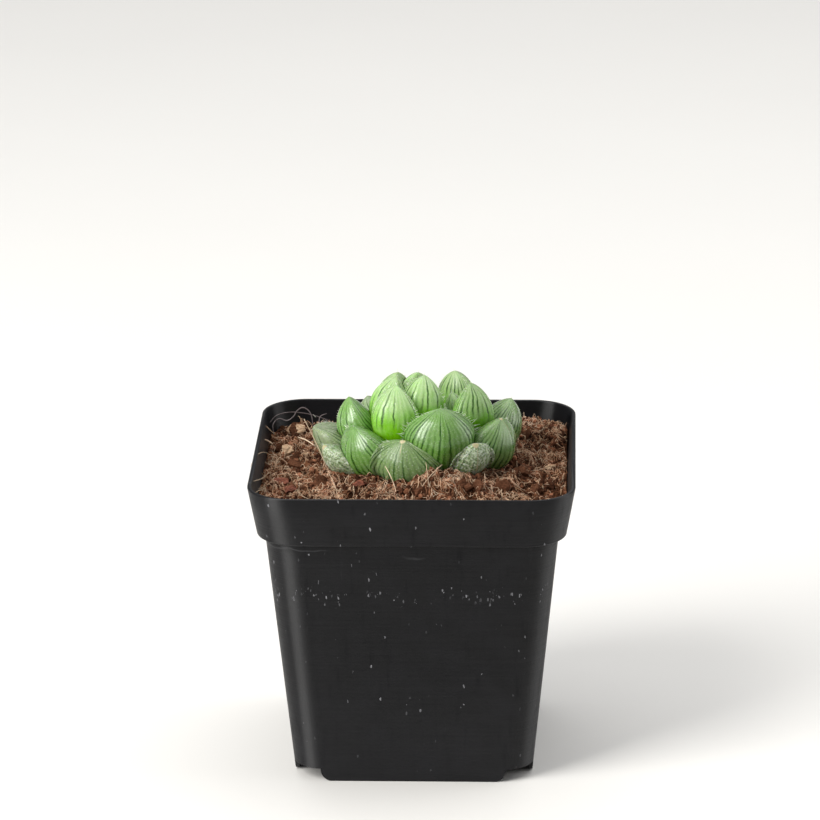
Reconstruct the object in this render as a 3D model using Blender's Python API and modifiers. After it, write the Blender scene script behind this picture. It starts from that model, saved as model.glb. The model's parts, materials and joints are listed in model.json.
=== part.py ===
"""Potted haworthia: a rosette of plump windowed leaves, its stem and roots, and coir soil in a square nursery pot.

The pot's underside stands on z = 0 and its centre line is x = y = 0. The front face looks towards -Y.
Run with: blender --background --python part.py
"""

import math
import random

import bmesh
import bpy
from mathutils import Matrix, Vector, noise

MM = 0.001

# Pot: a thin moulded shell with a stepped-out band round its mouth.
POT_HEIGHT = 61.5 * MM
RIM_HALF = 31.75 * MM
BAND_BOTTOM_HALF = 30.1 * MM
BAND_HEIGHT = 10.1 * MM
BODY_TOP_HALF = 28.55 * MM
BODY_BOTTOM_HALF = 23.45 * MM
RIM_CORNER = 8.9 * MM
BODY_TOP_CORNER = 7.5 * MM
BODY_BOTTOM_CORNER = 6.0 * MM
WALL = 0.8 * MM
STEP_ROUND = 0.45 * MM
TRIM = 1.0 * MM
FLOOR_UNDERSIDE = 2.9 * MM
FLOOR_THICK = 0.9 * MM
CORNER_STEPS = 6

# Drainage: the wall is cut away below the corners, and the floor has five holes.
NOTCH_HEIGHT = 2.7 * MM
NOTCH_START = 18.2 * MM
NOTCH_FLARE = 2.4 * MM
DRAIN_RADIUS = 3.6 * MM
DRAIN_REACH = 13.5 * MM
DRAIN_SIDES = 20

# Soil: fills the pot to just under the rim, and is heaped against the plant.
GAP = 0.35 * MM
SOIL_EDGE = 56.7 * MM
SOIL_MOUND = 3.0 * MM
SOIL_MOUND_REACH = 19.0 * MM
SOIL_RINGS = 8
SOIL_SIDE_STEPS = 6
SOIL_SHOULDER = 1.2 * MM
SOIL_SEED = 7.3

# Plant: every leaf springs from the crown, the top of the short stem.
CROWN = Vector((3.0, 3.0, 58.5)) * MM
STEM_TOP = 57.0 * MM
STEM_BOTTOM = 44.0 * MM
STEM_RADIUS = 4.6 * MM
ROOT_RADIUS = 1.1 * MM
LEAF_SIDES = 10
LEAF_RINGS = 8
BASE_WIDTH_SHARE = 0.34
WIDEST_AT = 0.66
WIDTH_POWER = 2.4
BASE_THICKNESS_SHARE = 0.45
THICKEST_AT = 0.62
THICKNESS_POWER = 2.2
INNER_FACE_SHARE = 0.62
OUTER_FACE_SHARE = 1.38
KEEL_RISE = 0.12
KEEL_SPREAD = 0.35

# name: facing (degrees from +X), reach, height, width, thickness, base reach, base height, bow
# Lengths are in millimetres from the crown. The list runs from the heart of the rosette outwards.
LEAVES = {
    "heart_leaf_1": (70, 1.8, 11.5, 5.5, 4.5, 1.0, -0.6, 0.08),
    "heart_leaf_2": (-60, 2.4, 12.5, 6.0, 5.0, 1.2, -0.6, 0.08),
    "heart_leaf_3": (178, 2.6, 12.5, 6.0, 5.0, 1.4, -0.6, 0.08),
    "heart_leaf_4": (8, 4.2, 13.5, 6.5, 5.0, 1.8, -0.6, 0.10),
    "inner_leaf_front": (246, 2.6, 18.0, 9.0, 6.5, 1.5, -0.8, 0.14),
    "inner_leaf_back": (125, 4.4, 16.6, 8.0, 6.0, 2.0, -0.8, 0.18),
    "inner_leaf_front_left": (224, 9.0, 17.1, 10.5, 8.5, 2.5, -1.0, 0.18),
    "inner_leaf_right": (-20, 8.5, 16.6, 9.5, 8.0, 2.5, -1.0, 0.13),
    "inner_leaf_back_right": (50, 7.2, 16.4, 8.5, 7.0, 2.5, -1.0, 0.18),
    "inner_leaf_back_left": (150, 7.6, 16.6, 9.0, 7.0, 2.5, -1.0, 0.18),
    "inner_leaf_left": (182, 6.6, 17.0, 9.0, 7.5, 2.5, -1.0, 0.18),
    "middle_leaf_front": (-80, 14.0, 14.8, 14.0, 9.5, 3.0, -1.0, 0.18),
    "middle_leaf_left": (186, 16.2, 13.2, 9.5, 7.5, 3.5, -1.0, 0.18),
    "middle_leaf_front_left": (215, 18.0, 9.8, 13.5, 8.5, 3.5, -1.0, 0.18),
    "middle_leaf_front_right": (-27, 15.8, 10.6, 13.0, 8.5, 3.5, -1.0, 0.18),
    "middle_leaf_right": (20, 17.0, 10.6, 10.5, 8.0, 3.5, -1.0, 0.18),
    "middle_leaf_back_left": (142, 16.5, 9.6, 10.0, 7.0, 3.5, -1.0, 0.18),
    "middle_leaf_back_right": (62, 14.5, 11.5, 11.0, 8.0, 3.5, -1.0, 0.18),
    "middle_leaf_back": (100, 14.0, 10.8, 11.5, 8.0, 3.5, -1.0, 0.18),
    "outer_leaf_front": (-108, 16.2, 8.6, 15.5, 8.5, 4.0, -1.0, 0.18),
    "outer_leaf_front_right": (-58, 17.5, 7.8, 10.0, 6.0, 5.0, 1.0, 0.18),
    "outer_leaf_left": (180, 22.8, 8.4, 9.5, 7.0, 5.0, -1.0, 0.18),
    "outer_leaf_front_left": (203, 22.7, 5.3, 9.5, 5.5, 6.0, 0.5, 0.18),
    "outer_leaf_back_right": (40, 19.0, 6.5, 10.5, 6.5, 5.0, -1.0, 0.18),
    "outer_leaf_back": (80, 20.0, 7.0, 12.0, 7.0, 5.0, -1.0, 0.18),
    "outer_leaf_back_left": (121, 19.5, 7.0, 11.0, 7.0, 5.0, -1.0, 0.18),
    "outer_leaf_far_left": (161, 20.5, 4.6, 9.0, 5.0, 6.0, 0.5, 0.18),
}

# name: centre x, y, height above the soil, then the three half sizes and a turn in degrees; millimetres
CHIPS = {
    "bark_chip_left": (-26.1, -8.4, 0.4, 1.5, 1.3, 1.0, 20),
    "bark_chip_front_left": (-24.3, -12.6, 0.3, 1.9, 1.2, 0.9, -35),
    "bark_chip_front": (-10.5, -12.5, 0.5, 1.6, 1.1, 0.9, 10),
    "wood_crumb_left": (-25.9, 10.0, 0.5, 1.1, 2.0, 1.3, 15),
    "wood_crumb_back_left": (-25.2, 25.2, 0.5, 2.0, 1.4, 1.2, -10),
    "wood_crumb_right": (26.6, 0.5, 0.3, 1.2, 0.9, 0.8, 30),
}

# facing in degrees, how far out the root reaches and the height of its end, in millimetres
ROOTS = ((15, 17, 24), (80, 13, 12), (140, 18, 30), (205, 14, 10), (265, 18, 20), (320, 12, 14))

# name: (colour, roughness)
FINISHES = {
    "black_plastic": ((0.012, 0.012, 0.014), 0.42),
    "coir": ((0.16, 0.075, 0.04), 0.95),
    "bark": ((0.22, 0.08, 0.045), 0.9),
    "wood": ((0.5, 0.32, 0.2), 0.85),
    "root": ((0.45, 0.33, 0.2), 0.8),
    "heart_green": ((0.28, 0.5, 0.08), 0.4),
    "leaf_green": ((0.12, 0.3, 0.07), 0.42),
    "old_green": ((0.22, 0.3, 0.19), 0.55),
}


def clear_scene():
    for obj in list(bpy.data.objects):
        bpy.data.objects.remove(obj, do_unlink=True)


def new_collection(name):
    collection = bpy.data.collections.new(name)
    bpy.context.scene.collection.children.link(collection)
    return collection


def finish(name):
    """The Principled material of that name."""
    material = bpy.data.materials.get(name)
    if material is None:
        colour, roughness = FINISHES[name]
        material = bpy.data.materials.new(name)
        material.use_nodes = True
        shader = material.node_tree.nodes["Principled BSDF"]
        shader.inputs["Base Color"].default_value = (*colour, 1.0)
        shader.inputs["Roughness"].default_value = roughness
    return material


def add_object(name, bm, collection, finish_name=None, sharp_angle=35):
    """Turns a bmesh into an object, shaded smooth but for its sharp edges."""
    bmesh.ops.recalc_face_normals(bm, faces=bm.faces)
    mesh = bpy.data.meshes.new(name)
    bm.to_mesh(mesh)
    bm.free()
    mesh.shade_smooth()
    mesh.set_sharp_from_angle(angle=math.radians(sharp_angle))
    obj = bpy.data.objects.new(name, mesh)
    collection.objects.link(obj)
    if finish_name:
        mesh.materials.append(finish(finish_name))
    return obj


def as_cutter(obj):
    obj.hide_render = True
    obj.display_type = "WIRE"
    return obj


def add_boolean(obj, other, operation="DIFFERENCE"):
    modifier = obj.modifiers.new(operation.title(), "BOOLEAN")
    modifier.operation = operation
    modifier.object = other
    modifier.solver = "EXACT"


def apply_modifiers(obj, largest_only=False):
    """Applies the modifiers, and drops crumbs that a cut left loose if largest_only."""
    graph = bpy.context.evaluated_depsgraph_get()
    mesh = bpy.data.meshes.new_from_object(obj.evaluated_get(graph))
    if largest_only:
        bm = bmesh.new()
        bm.from_mesh(mesh)
        keep = max(islands(bm), key=island_volume)
        bmesh.ops.delete(bm, geom=[f for f in bm.faces if f not in keep], context="FACES")
        bm.to_mesh(mesh)
        bm.free()
    obj.modifiers.clear()
    obj.data = mesh


def islands(bm):
    """The sets of faces that hang together."""
    left = set(bm.faces)
    found = []
    while left:
        island = set()
        queue = [left.pop()]
        while queue:
            face = queue.pop()
            island.add(face)
            for edge in face.edges:
                for other in edge.link_faces:
                    if other in left:
                        left.remove(other)
                        queue.append(other)
        found.append(island)
    return found


def island_volume(faces):
    total = 0.0
    for face in faces:
        corners = [v.co for v in face.verts]
        for a, b in zip(corners[1:], corners[2:]):
            total += corners[0].dot(a.cross(b)) / 6
    return total


# ---------------------------------------------------------------- pot


def rounded_square(half, corner, z, side_steps=1):
    """The points of a square of that half width with round corners, counterclockwise."""
    quarter = []
    for step in range(CORNER_STEPS + 1):
        angle = step / CORNER_STEPS * math.pi / 2
        arc = Vector((math.cos(angle), math.sin(angle))) * corner
        quarter.append(Vector((half - corner, half - corner)) + arc)
    start = quarter[-1]
    for step in range(1, side_steps):
        quarter.append(start.lerp(Vector((corner - half, half)), step / side_steps))
    points = []
    for number in range(4):
        turn = turned(number * math.pi / 2)
        points += [(turn @ p).to_3d() + Vector((0, 0, z)) for p in quarter]
    return points


def turned(angle):
    return Matrix.Rotation(angle, 2)


def ring_of(bm, points):
    verts = [bm.verts.new(p) for p in points]
    return [bm.edges.new((verts[i - 1], verts[i])) for i in range(len(verts))]


def loft(bm, sections):
    """Skins a run of sections that have the same number of points."""
    edges = ring_of(bm, sections[0])
    rings = [edges]
    for points in sections[1:]:
        following = ring_of(bm, points)
        bmesh.ops.bridge_loops(bm, edges=edges + following)
        edges = following
        rings.append(edges)
    return rings


def body_half(z):
    """The body's outer half width at a height, below the band."""
    share = z / (POT_HEIGHT - BAND_HEIGHT)
    return BODY_BOTTOM_HALF + (BODY_TOP_HALF - BODY_BOTTOM_HALF) * share


def body_corner(z):
    share = z / (POT_HEIGHT - BAND_HEIGHT)
    return BODY_BOTTOM_CORNER + (BODY_TOP_CORNER - BODY_BOTTOM_CORNER) * share


def band_half(z):
    share = (z - POT_HEIGHT + BAND_HEIGHT) / BAND_HEIGHT
    return BAND_BOTTOM_HALF + (RIM_HALF - BAND_BOTTOM_HALF) * share


def pot_sections():
    """(z, half width, corner radius) up the outside of the pot, a little past both of its ends."""
    step = POT_HEIGHT - BAND_HEIGHT
    band_corner = RIM_CORNER - (RIM_HALF - BAND_BOTTOM_HALF) * 0.25
    return (
        (-TRIM, body_half(-TRIM), BODY_BOTTOM_CORNER),
        (step - STEP_ROUND, body_half(step), BODY_TOP_CORNER),
        (step, BODY_TOP_HALF + STEP_ROUND, BODY_TOP_CORNER + STEP_ROUND),
        (step, BAND_BOTTOM_HALF - STEP_ROUND, band_corner - STEP_ROUND),
        (step + STEP_ROUND, BAND_BOTTOM_HALF, band_corner),
        (POT_HEIGHT + TRIM, band_half(POT_HEIGHT + TRIM), RIM_CORNER),
    )


def make_pot(collection, cutters):
    """A shell that is trimmed flat at the rim and the feet, then given its floor, holes and corner cutouts."""
    bm = bmesh.new()
    loft(bm, [rounded_square(half, corner, z) for z, half, corner in pot_sections()])
    pot = add_object("pot", bm, collection, "black_plastic")
    solidify = pot.modifiers.new("Wall", "SOLIDIFY")
    solidify.thickness = WALL
    solidify.offset = -1
    solidify.use_even_offset = True

    bm = bmesh.new()
    bmesh.ops.create_cube(bm, size=1)
    bmesh.ops.scale(bm, vec=(4 * RIM_HALF, 4 * RIM_HALF, POT_HEIGHT), verts=bm.verts)
    bmesh.ops.translate(bm, vec=(0, 0, POT_HEIGHT / 2), verts=bm.verts)
    add_boolean(pot, as_cutter(add_object("between_both_ends", bm, cutters)), "INTERSECT")

    bm = bmesh.new()
    middle = FLOOR_UNDERSIDE + FLOOR_THICK / 2
    half = body_half(middle) - WALL / 2
    corner = body_corner(middle) - WALL / 2
    lower = rounded_square(half, corner, FLOOR_UNDERSIDE)
    upper = rounded_square(half, corner, FLOOR_UNDERSIDE + FLOOR_THICK)
    loft(bm, [lower, upper])
    bmesh.ops.holes_fill(bm, edges=bm.edges)
    floor = as_cutter(add_object("floor_plate", bm, cutters))
    add_boolean(pot, floor, "UNION")

    for number, centre in enumerate(drain_centres()):
        add_boolean(pot, drain_cutter(number, centre, cutters))
    for number in range(4):
        add_boolean(pot, notch_cutter(number, cutters))
    return pot


def drain_centres():
    corners = [(DRAIN_REACH * sx, DRAIN_REACH * sy) for sx in (-1, 1) for sy in (-1, 1)]
    return [(0.0, 0.0), *corners]


def drain_cutter(number, centre, cutters):
    bm = bmesh.new()
    bmesh.ops.create_cone(
        bm,
        cap_ends=True,
        segments=DRAIN_SIDES,
        radius1=DRAIN_RADIUS,
        radius2=DRAIN_RADIUS,
        depth=4 * FLOOR_THICK,
    )
    middle = FLOOR_UNDERSIDE + FLOOR_THICK / 2
    bmesh.ops.translate(bm, verts=bm.verts, vec=(*centre, middle))
    return as_cutter(add_object(f"drain_cutter_{number}", bm, cutters))


def notch_cutter(number, cutters):
    """A block under one corner, whose inner sides flare out below so that the feet have round ends."""
    bm = bmesh.new()
    outside = BODY_BOTTOM_HALF + 4 * MM
    sections = []
    steps = 5
    for step in range(steps + 1):
        angle = step / steps * math.pi / 2
        inner = NOTCH_START - NOTCH_FLARE * (1 - math.sin(angle))
        z = NOTCH_FLARE * (1 - math.cos(angle))
        sections.append(square_section(inner, outside, z))
    sections.insert(0, square_section(NOTCH_START - NOTCH_FLARE, outside, -1 * MM))
    sections.append(square_section(NOTCH_START, outside, NOTCH_HEIGHT))
    loft(bm, sections)
    bmesh.ops.holes_fill(bm, edges=bm.edges)
    turn = (turned(number * math.pi / 2)).to_4x4()
    bmesh.ops.transform(bm, matrix=turn, verts=bm.verts)
    return as_cutter(add_object(f"notch_cutter_{number}", bm, cutters))


def square_section(low, high, z):
    return [Vector((x, y, z)) for x, y in ((low, low), (high, low), (high, high), (low, high))]


# ---------------------------------------------------------------- soil


def soil_height(x, y):
    """The top of the soil: low at the walls, heaped round the plant, and uneven all over."""
    heap = math.hypot(x - CROWN.x, y) / SOIL_MOUND_REACH
    height = SOIL_EDGE + SOIL_MOUND * math.exp(-(heap**4))
    front_heap = math.hypot(x - 7 * MM, y + 11 * MM) / (5.5 * MM)
    height += 1.8 * MM * math.exp(-(front_heap**2))
    wobble = noise.noise(Vector((x, y, SOIL_SEED * MM)) / (6 * MM))
    return height + 0.35 * MM * wobble


def make_soil(collection):
    """One lump that follows the inside of the pot, a gap clear of it."""
    clear = WALL + GAP
    step = POT_HEIGHT - BAND_HEIGHT + clear
    bottom = FLOOR_UNDERSIDE + FLOOR_THICK + GAP
    edge = band_half(SOIL_EDGE) - clear
    edge_corner = RIM_CORNER - clear
    outline = (
        (bottom, body_half(bottom) - clear, body_corner(bottom) - clear),
        (step, BODY_TOP_HALF - clear, BODY_TOP_CORNER - clear),
        (step + SOIL_SHOULDER, band_half(step) - clear, edge_corner),
    )
    sections = [rounded_square(half, corner, z, SOIL_SIDE_STEPS) for z, half, corner in outline]
    for ring in range(SOIL_RINGS):
        share = 1 - ring / SOIL_RINGS
        points = rounded_square(edge * share, edge_corner * share, 0, SOIL_SIDE_STEPS)
        sections.append([Vector((p.x, p.y, soil_height(p.x, p.y))) for p in points])
    bm = bmesh.new()
    loft(bm, sections)
    bmesh.ops.holes_fill(bm, edges=bm.edges)
    bmesh.ops.triangulate(bm, faces=bm.faces)
    return add_object("soil", bm, collection, "coir")


# ---------------------------------------------------------------- plant


def swell(share, base, peak, power):
    """How wide a leaf is along its length: it swells from the base to its peak, then closes to a point."""
    if share < peak:
        rise = share / peak
        return base + (1 - base) * rise * rise * (3 - 2 * rise)
    return 1 - ((share - peak) / (1 - peak)) ** power


class Leaf:
    """A leaf's centre line, a quadratic curve in an upright plane through the crown, and its sections."""

    def __init__(self, row, grow=0.0):
        facing, reach, height, width, thickness, base_reach, base_height, bow = row
        angle = math.radians(facing)
        self.out = Vector((math.cos(angle), math.sin(angle), 0))
        self.across = Vector((-math.sin(angle), math.cos(angle), 0))
        self.base = CROWN + (self.out * base_reach + Vector((0, 0, base_height))) * MM
        self.tip = CROWN + (self.out * reach + Vector((0, 0, height))) * MM
        chord = self.tip - self.base
        below = chord.cross(self.across)
        self.middle = (self.base + self.tip) / 2 - below * bow
        self.tip += chord.normalized() * grow
        self.half_width = width * MM / 2 + grow
        self.half_thickness = thickness * MM / 2 + grow

    def point(self, share, turn):
        """The point at a share of the length and a turn round the section, 0 at one margin."""
        rest = 1 - share
        centre = self.base * rest**2 + self.middle * (2 * share * rest) + self.tip * share**2
        along = (self.middle - self.base) * rest + (self.tip - self.middle) * share
        upper = along.normalized().cross(self.across)
        width = self.half_width * swell(share, BASE_WIDTH_SHARE, WIDEST_AT, WIDTH_POWER)
        thickness = self.half_thickness * swell(
            share, BASE_THICKNESS_SHARE, THICKEST_AT, THICKNESS_POWER
        )
        rise = math.sin(turn) * thickness
        if rise > 0:
            rise *= INNER_FACE_SHARE
        else:
            from_keel = (turn - 1.5 * math.pi) / KEEL_SPREAD
            rise *= OUTER_FACE_SHARE * (1 + KEEL_RISE * share * math.exp(-(from_keel**2)))
        return centre + self.across * (width * math.cos(turn)) + upper * rise


def leaf_bmesh(row, grow=0.0):
    """A sphere drawn out along the leaf: its poles are the base and the tip."""
    leaf = Leaf(row, grow)
    bm = bmesh.new()
    bmesh.ops.create_uvsphere(bm, u_segments=LEAF_SIDES, v_segments=LEAF_RINGS, radius=1)
    for vert in bm.verts:
        share = (vert.co.z + 1) / 2
        turn = math.atan2(vert.co.y, vert.co.x) % (2 * math.pi)
        if min(share, 1 - share) < 1e-4:
            vert.co = leaf.tip if share > 0.5 else leaf.base
        else:
            vert.co = leaf.point(share, turn)
    return bm


def leaf_finish(name):
    if name.startswith(("heart", "inner")):
        return "heart_green"
    return "old_green" if name.startswith("outer") else "leaf_green"


def boxes_meet(a, b):
    """Whether the bounding boxes of two unmodified objects overlap."""
    low_a, high_a, low_b, high_b = *bounds(a), *bounds(b)
    return all(low_a[k] < high_b[k] and low_b[k] < high_a[k] for k in range(3))


def bounds(obj):
    points = [v.co for v in obj.data.vertices]
    low = [min(p[k] for p in points) for k in range(3)]
    high = [max(p[k] for p in points) for k in range(3)]
    return low, high


def make_leaves(collection, cutters, stem_cutter):
    """Each leaf is pressed back by the stem and by every leaf nearer the heart."""
    leaf_cutters = {}
    for name, row in LEAVES.items():
        leaf = add_object(name, leaf_bmesh(row), collection, leaf_finish(name))
        for other in [stem_cutter, *leaf_cutters.values()]:
            if boxes_meet(leaf, other):
                add_boolean(leaf, other)
        cutter = add_object(f"room_for_{name}", leaf_bmesh(row, GAP), cutters)
        leaf_cutters[name] = as_cutter(cutter)
        apply_modifiers(leaf, largest_only=True)
    return leaf_cutters


def stem_bmesh(grow=0.0):
    """The short stem: widest under the crown, drawn in to the root collar."""
    profile = (
        (STEM_RADIUS * 0.55, STEM_TOP + grow),
        (STEM_RADIUS * 0.95 + grow, STEM_TOP - 1.2 * MM + grow),
        (STEM_RADIUS + grow, STEM_TOP - 4 * MM),
        (STEM_RADIUS * 0.85 + grow, STEM_TOP - 8 * MM),
        (STEM_RADIUS * 0.5 + grow, STEM_BOTTOM - grow),
    )
    sides = 14
    sections = []
    for radius, z in profile:
        turns = [2 * math.pi * k / sides for k in range(sides)]
        sections.append(
            [Vector((CROWN.x + radius * math.cos(a), CROWN.y + radius * math.sin(a), z)) for a in turns]
        )
    bm = bmesh.new()
    loft(bm, sections)
    bmesh.ops.holes_fill(bm, edges=bm.edges)
    return bm


def root_object(name, facing, reach, end, cutters, grow=0.0):
    """A fleshy root: a tapering tube that runs out from the stem and down."""
    angle = math.radians(facing)
    out = Vector((math.cos(angle), math.sin(angle), 0))
    start = Vector((CROWN.x, CROWN.y, STEM_TOP - 8 * MM)) + out * 1.5 * MM
    finish_point = Vector((CROWN.x * 0.3, CROWN.y * 0.3, end * MM)) + out * reach * MM
    curve = bpy.data.curves.new(name, "CURVE")
    curve.dimensions = "3D"
    curve.bevel_depth = ROOT_RADIUS
    curve.bevel_resolution = 1
    curve.use_fill_caps = True
    spline = curve.splines.new("POLY")
    count = 9
    spline.points.add(count - 1)
    for number in range(count):
        share = number / (count - 1)
        place = start.lerp(finish_point, share)
        place += out * 4 * MM * math.sin(math.pi * share) * (1 - share * 0.5)
        place.z -= 0.15 * (start.z - finish_point.z) * math.sin(math.pi * share) * -0.6
        sway = Vector((-out.y, out.x, 0)) * 1.2 * MM * math.sin(7 * share + angle)
        place += sway * share
        spline.points[number].co = (*place, 1)
        spline.points[number].radius = 1 - 0.6 * share + grow / ROOT_RADIUS
    tube = bpy.data.objects.new(name, curve)
    cutters.objects.link(tube)
    graph = bpy.context.evaluated_depsgraph_get()
    mesh = bpy.data.meshes.new_from_object(tube.evaluated_get(graph))
    bpy.data.objects.remove(tube)
    bm = bmesh.new()
    bm.from_mesh(mesh)
    bmesh.ops.remove_doubles(bm, verts=bm.verts, dist=1e-6)
    return as_cutter(add_object(name, bm, cutters))


def make_stem(collection, cutters):
    """The stem and roots, which grew as one piece, and a slightly larger copy that makes room for them."""
    stem = add_object("stem_with_roots", stem_bmesh(), collection, "root")
    room = add_object("room_for_stem", stem_bmesh(GAP), cutters)
    for number, (facing, reach, end) in enumerate(ROOTS):
        root = root_object(f"root_{number}", facing, reach, end, cutters)
        add_boolean(stem, root, "UNION")
        root_room = root_object(f"room_for_root_{number}", facing, reach, end, cutters, GAP)
        add_boolean(room, root_room, "UNION")
    apply_modifiers(stem)
    apply_modifiers(room)
    return as_cutter(room)


# ---------------------------------------------------------------- chips


def chip_bmesh(row, seed, grow=0.0):
    """An angular crumb: a low sphere with its corners pushed in and out."""
    x, y, lift, half_x, half_y, half_z, turn = row
    shaper = random.Random(seed)
    bm = bmesh.new()
    bmesh.ops.create_icosphere(bm, subdivisions=2, radius=1)
    for vert in bm.verts:
        push = 1 + 0.28 * (shaper.random() - 0.5)
        size = Vector((half_x, half_y, half_z)) * MM
        vert.co = Vector(vert.co[k] * (size[k] * push + grow) for k in range(3))
    turning = turned(math.radians(turn)).to_4x4()
    bmesh.ops.transform(bm, matrix=turning, verts=bm.verts)
    place = Vector((x * MM, y * MM, soil_height(x * MM, y * MM) + lift * MM))
    bmesh.ops.translate(bm, verts=bm.verts, vec=place)
    return bm


def make_chips(collection, cutters, leaf_cutters):
    rooms = []
    for seed, (name, row) in enumerate(CHIPS.items()):
        finish_name = "bark" if name.startswith("bark") else "wood"
        chip = add_object(name, chip_bmesh(row, seed), collection, finish_name)
        for leaf_cutter in leaf_cutters.values():
            if boxes_meet(chip, leaf_cutter):
                add_boolean(chip, leaf_cutter)
        rooms.append(as_cutter(add_object(f"room_for_{name}", chip_bmesh(row, seed, GAP), cutters)))
    return rooms


def main():
    clear_scene()
    collection = new_collection("potted_haworthia")
    cutters = new_collection("cutters")
    make_pot(collection, cutters)
    soil = make_soil(collection)
    stem_cutter = make_stem(collection, cutters)
    leaf_cutters = make_leaves(collection, cutters, stem_cutter)
    chip_cutters = make_chips(collection, cutters, leaf_cutters)
    for cutter in [stem_cutter, *leaf_cutters.values(), *chip_cutters]:
        if boxes_meet(soil, cutter):
            add_boolean(soil, cutter)
    apply_modifiers(soil, largest_only=True)


if __name__ == "__main__":
    main()
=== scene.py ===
"""A potted haworthia: windowed leaves with teeth, coir soil with loose fibres, and a square nursery pot."""

import json
import math
import random

import bmesh
import bpy
import numpy as np
from bpy.props import FloatProperty, FloatVectorProperty, IntProperty, PointerProperty
from mathutils import Matrix, Vector, noise
from mathutils.bvhtree import BVHTree

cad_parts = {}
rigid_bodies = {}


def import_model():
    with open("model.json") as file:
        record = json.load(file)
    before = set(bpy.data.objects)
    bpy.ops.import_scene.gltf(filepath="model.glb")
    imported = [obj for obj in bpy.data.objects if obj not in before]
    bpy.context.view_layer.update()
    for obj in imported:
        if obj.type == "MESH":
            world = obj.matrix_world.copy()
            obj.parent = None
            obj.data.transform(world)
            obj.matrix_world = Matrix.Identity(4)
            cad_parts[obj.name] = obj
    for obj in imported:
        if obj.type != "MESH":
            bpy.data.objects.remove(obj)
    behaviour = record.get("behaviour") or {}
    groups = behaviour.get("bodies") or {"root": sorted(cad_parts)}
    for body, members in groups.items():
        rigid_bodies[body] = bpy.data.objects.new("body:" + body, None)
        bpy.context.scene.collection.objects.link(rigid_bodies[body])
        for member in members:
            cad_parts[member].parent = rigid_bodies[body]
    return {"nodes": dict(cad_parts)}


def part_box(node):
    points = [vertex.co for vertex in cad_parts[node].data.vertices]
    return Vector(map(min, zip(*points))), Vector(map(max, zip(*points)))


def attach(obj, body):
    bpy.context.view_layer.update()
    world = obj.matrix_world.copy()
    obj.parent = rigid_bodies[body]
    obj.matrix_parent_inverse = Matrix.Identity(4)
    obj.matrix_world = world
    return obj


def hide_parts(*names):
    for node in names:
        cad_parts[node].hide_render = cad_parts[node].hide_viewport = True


bl_info = {
    "name": "Potted Haworthia",
    "version": (1, 0, 0),
    "blender": (4, 5, 0),
    "location": "View3D > Sidebar > Haworthia",
    "description": "Models a haworthia rosette in a square nursery pot of coir soil",
    "category": "Object",
}

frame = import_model()

MM = 0.001
BODY = "root"

# ---- Places read from the frame
POT_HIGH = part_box("pot")[1]
RIM_HALF = POT_HIGH.x
POT_HEIGHT = POT_HIGH.z

# ---- The pot's outline, as in the frame's model
BAND_HEIGHT = 10.1 * MM
BAND_BOTTOM_HALF = 30.1 * MM
BODY_TOP_HALF = 28.55 * MM
BODY_BOTTOM_HALF = 23.45 * MM
RIM_CORNER = 8.9 * MM
BAND_BOTTOM_CORNER = 8.5 * MM
BODY_TOP_CORNER = 7.5 * MM
BODY_BOTTOM_CORNER = 6.0 * MM
WALL = 0.8 * MM
FLOOR_UNDERSIDE = 2.9 * MM
FLOOR_TOP = 3.8 * MM
FLOOR_FILLET = 0.8 * MM
FLOOR_RING = 4 * MM
NOTCH_HEIGHT = 2.7 * MM
NOTCH_START = 18.2 * MM
NOTCH_FLARE = 2.4 * MM
DRAIN_RADIUS = 3.6 * MM
DRAIN_REACH = 13.5 * MM
STEP = POT_HEIGHT - BAND_HEIGHT

# ---- Soil
SOIL_GAP = 0.12 * MM
SOIL_EDGE = 56.7 * MM
SOIL_MOUND = 3.0 * MM
SOIL_MOUND_REACH = 19.0 * MM
SOIL_SEED = 7.3
# Heaps and hollows of the soil: x, y, reach and rise in millimetres
SOIL_HEAPS = ((5.5, -15.5, 5.5, 2.8), (24.0, 20.0, 12.0, 1.9), (-20.0, 20.0, 9.0, -0.9))
CLOD_SIZE = 3.8 * MM
CRUMB_SIZE = 1.1 * MM
LUMP_SIZE = 1.3 * MM
CLOD_WANDER = 0.9 * MM
SOIL_RELIEF = 1.1 * MM

# ---- Plant
CROWN = Vector((3.0, 3.0, 58.5)) * MM
BASE_WIDTH_SHARE = 0.34
WIDEST_AT = 0.66
WIDTH_POWER = 2.4
BASE_THICKNESS_SHARE = 0.45
THICKEST_AT = 0.62
THICKNESS_POWER = 2.2
CLOSING_POWER = 0.8
PRESS_REACH = 1.5 * MM
LEAF_GAP = 0.10 * MM
UNDERSIDE_LIFT = 0.18 * MM
INNER_FACE_SHARE = 0.62
OUTER_FACE_SHARE = 1.38
KEEL_RISE = 0.12
KEEL_SPREAD = 0.35
# Rows of teeth: turn round the leaf, first and last share of its length, spacing in millimetres, size
TOOTH_ROWS = (
    (0.0, 0.30, 0.96, 0.44, 1.0),
    (math.pi, 0.30, 0.96, 0.44, 1.0),
    (1.5 * math.pi, 0.86, 0.95, 0.7, 0.4),
)

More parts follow.
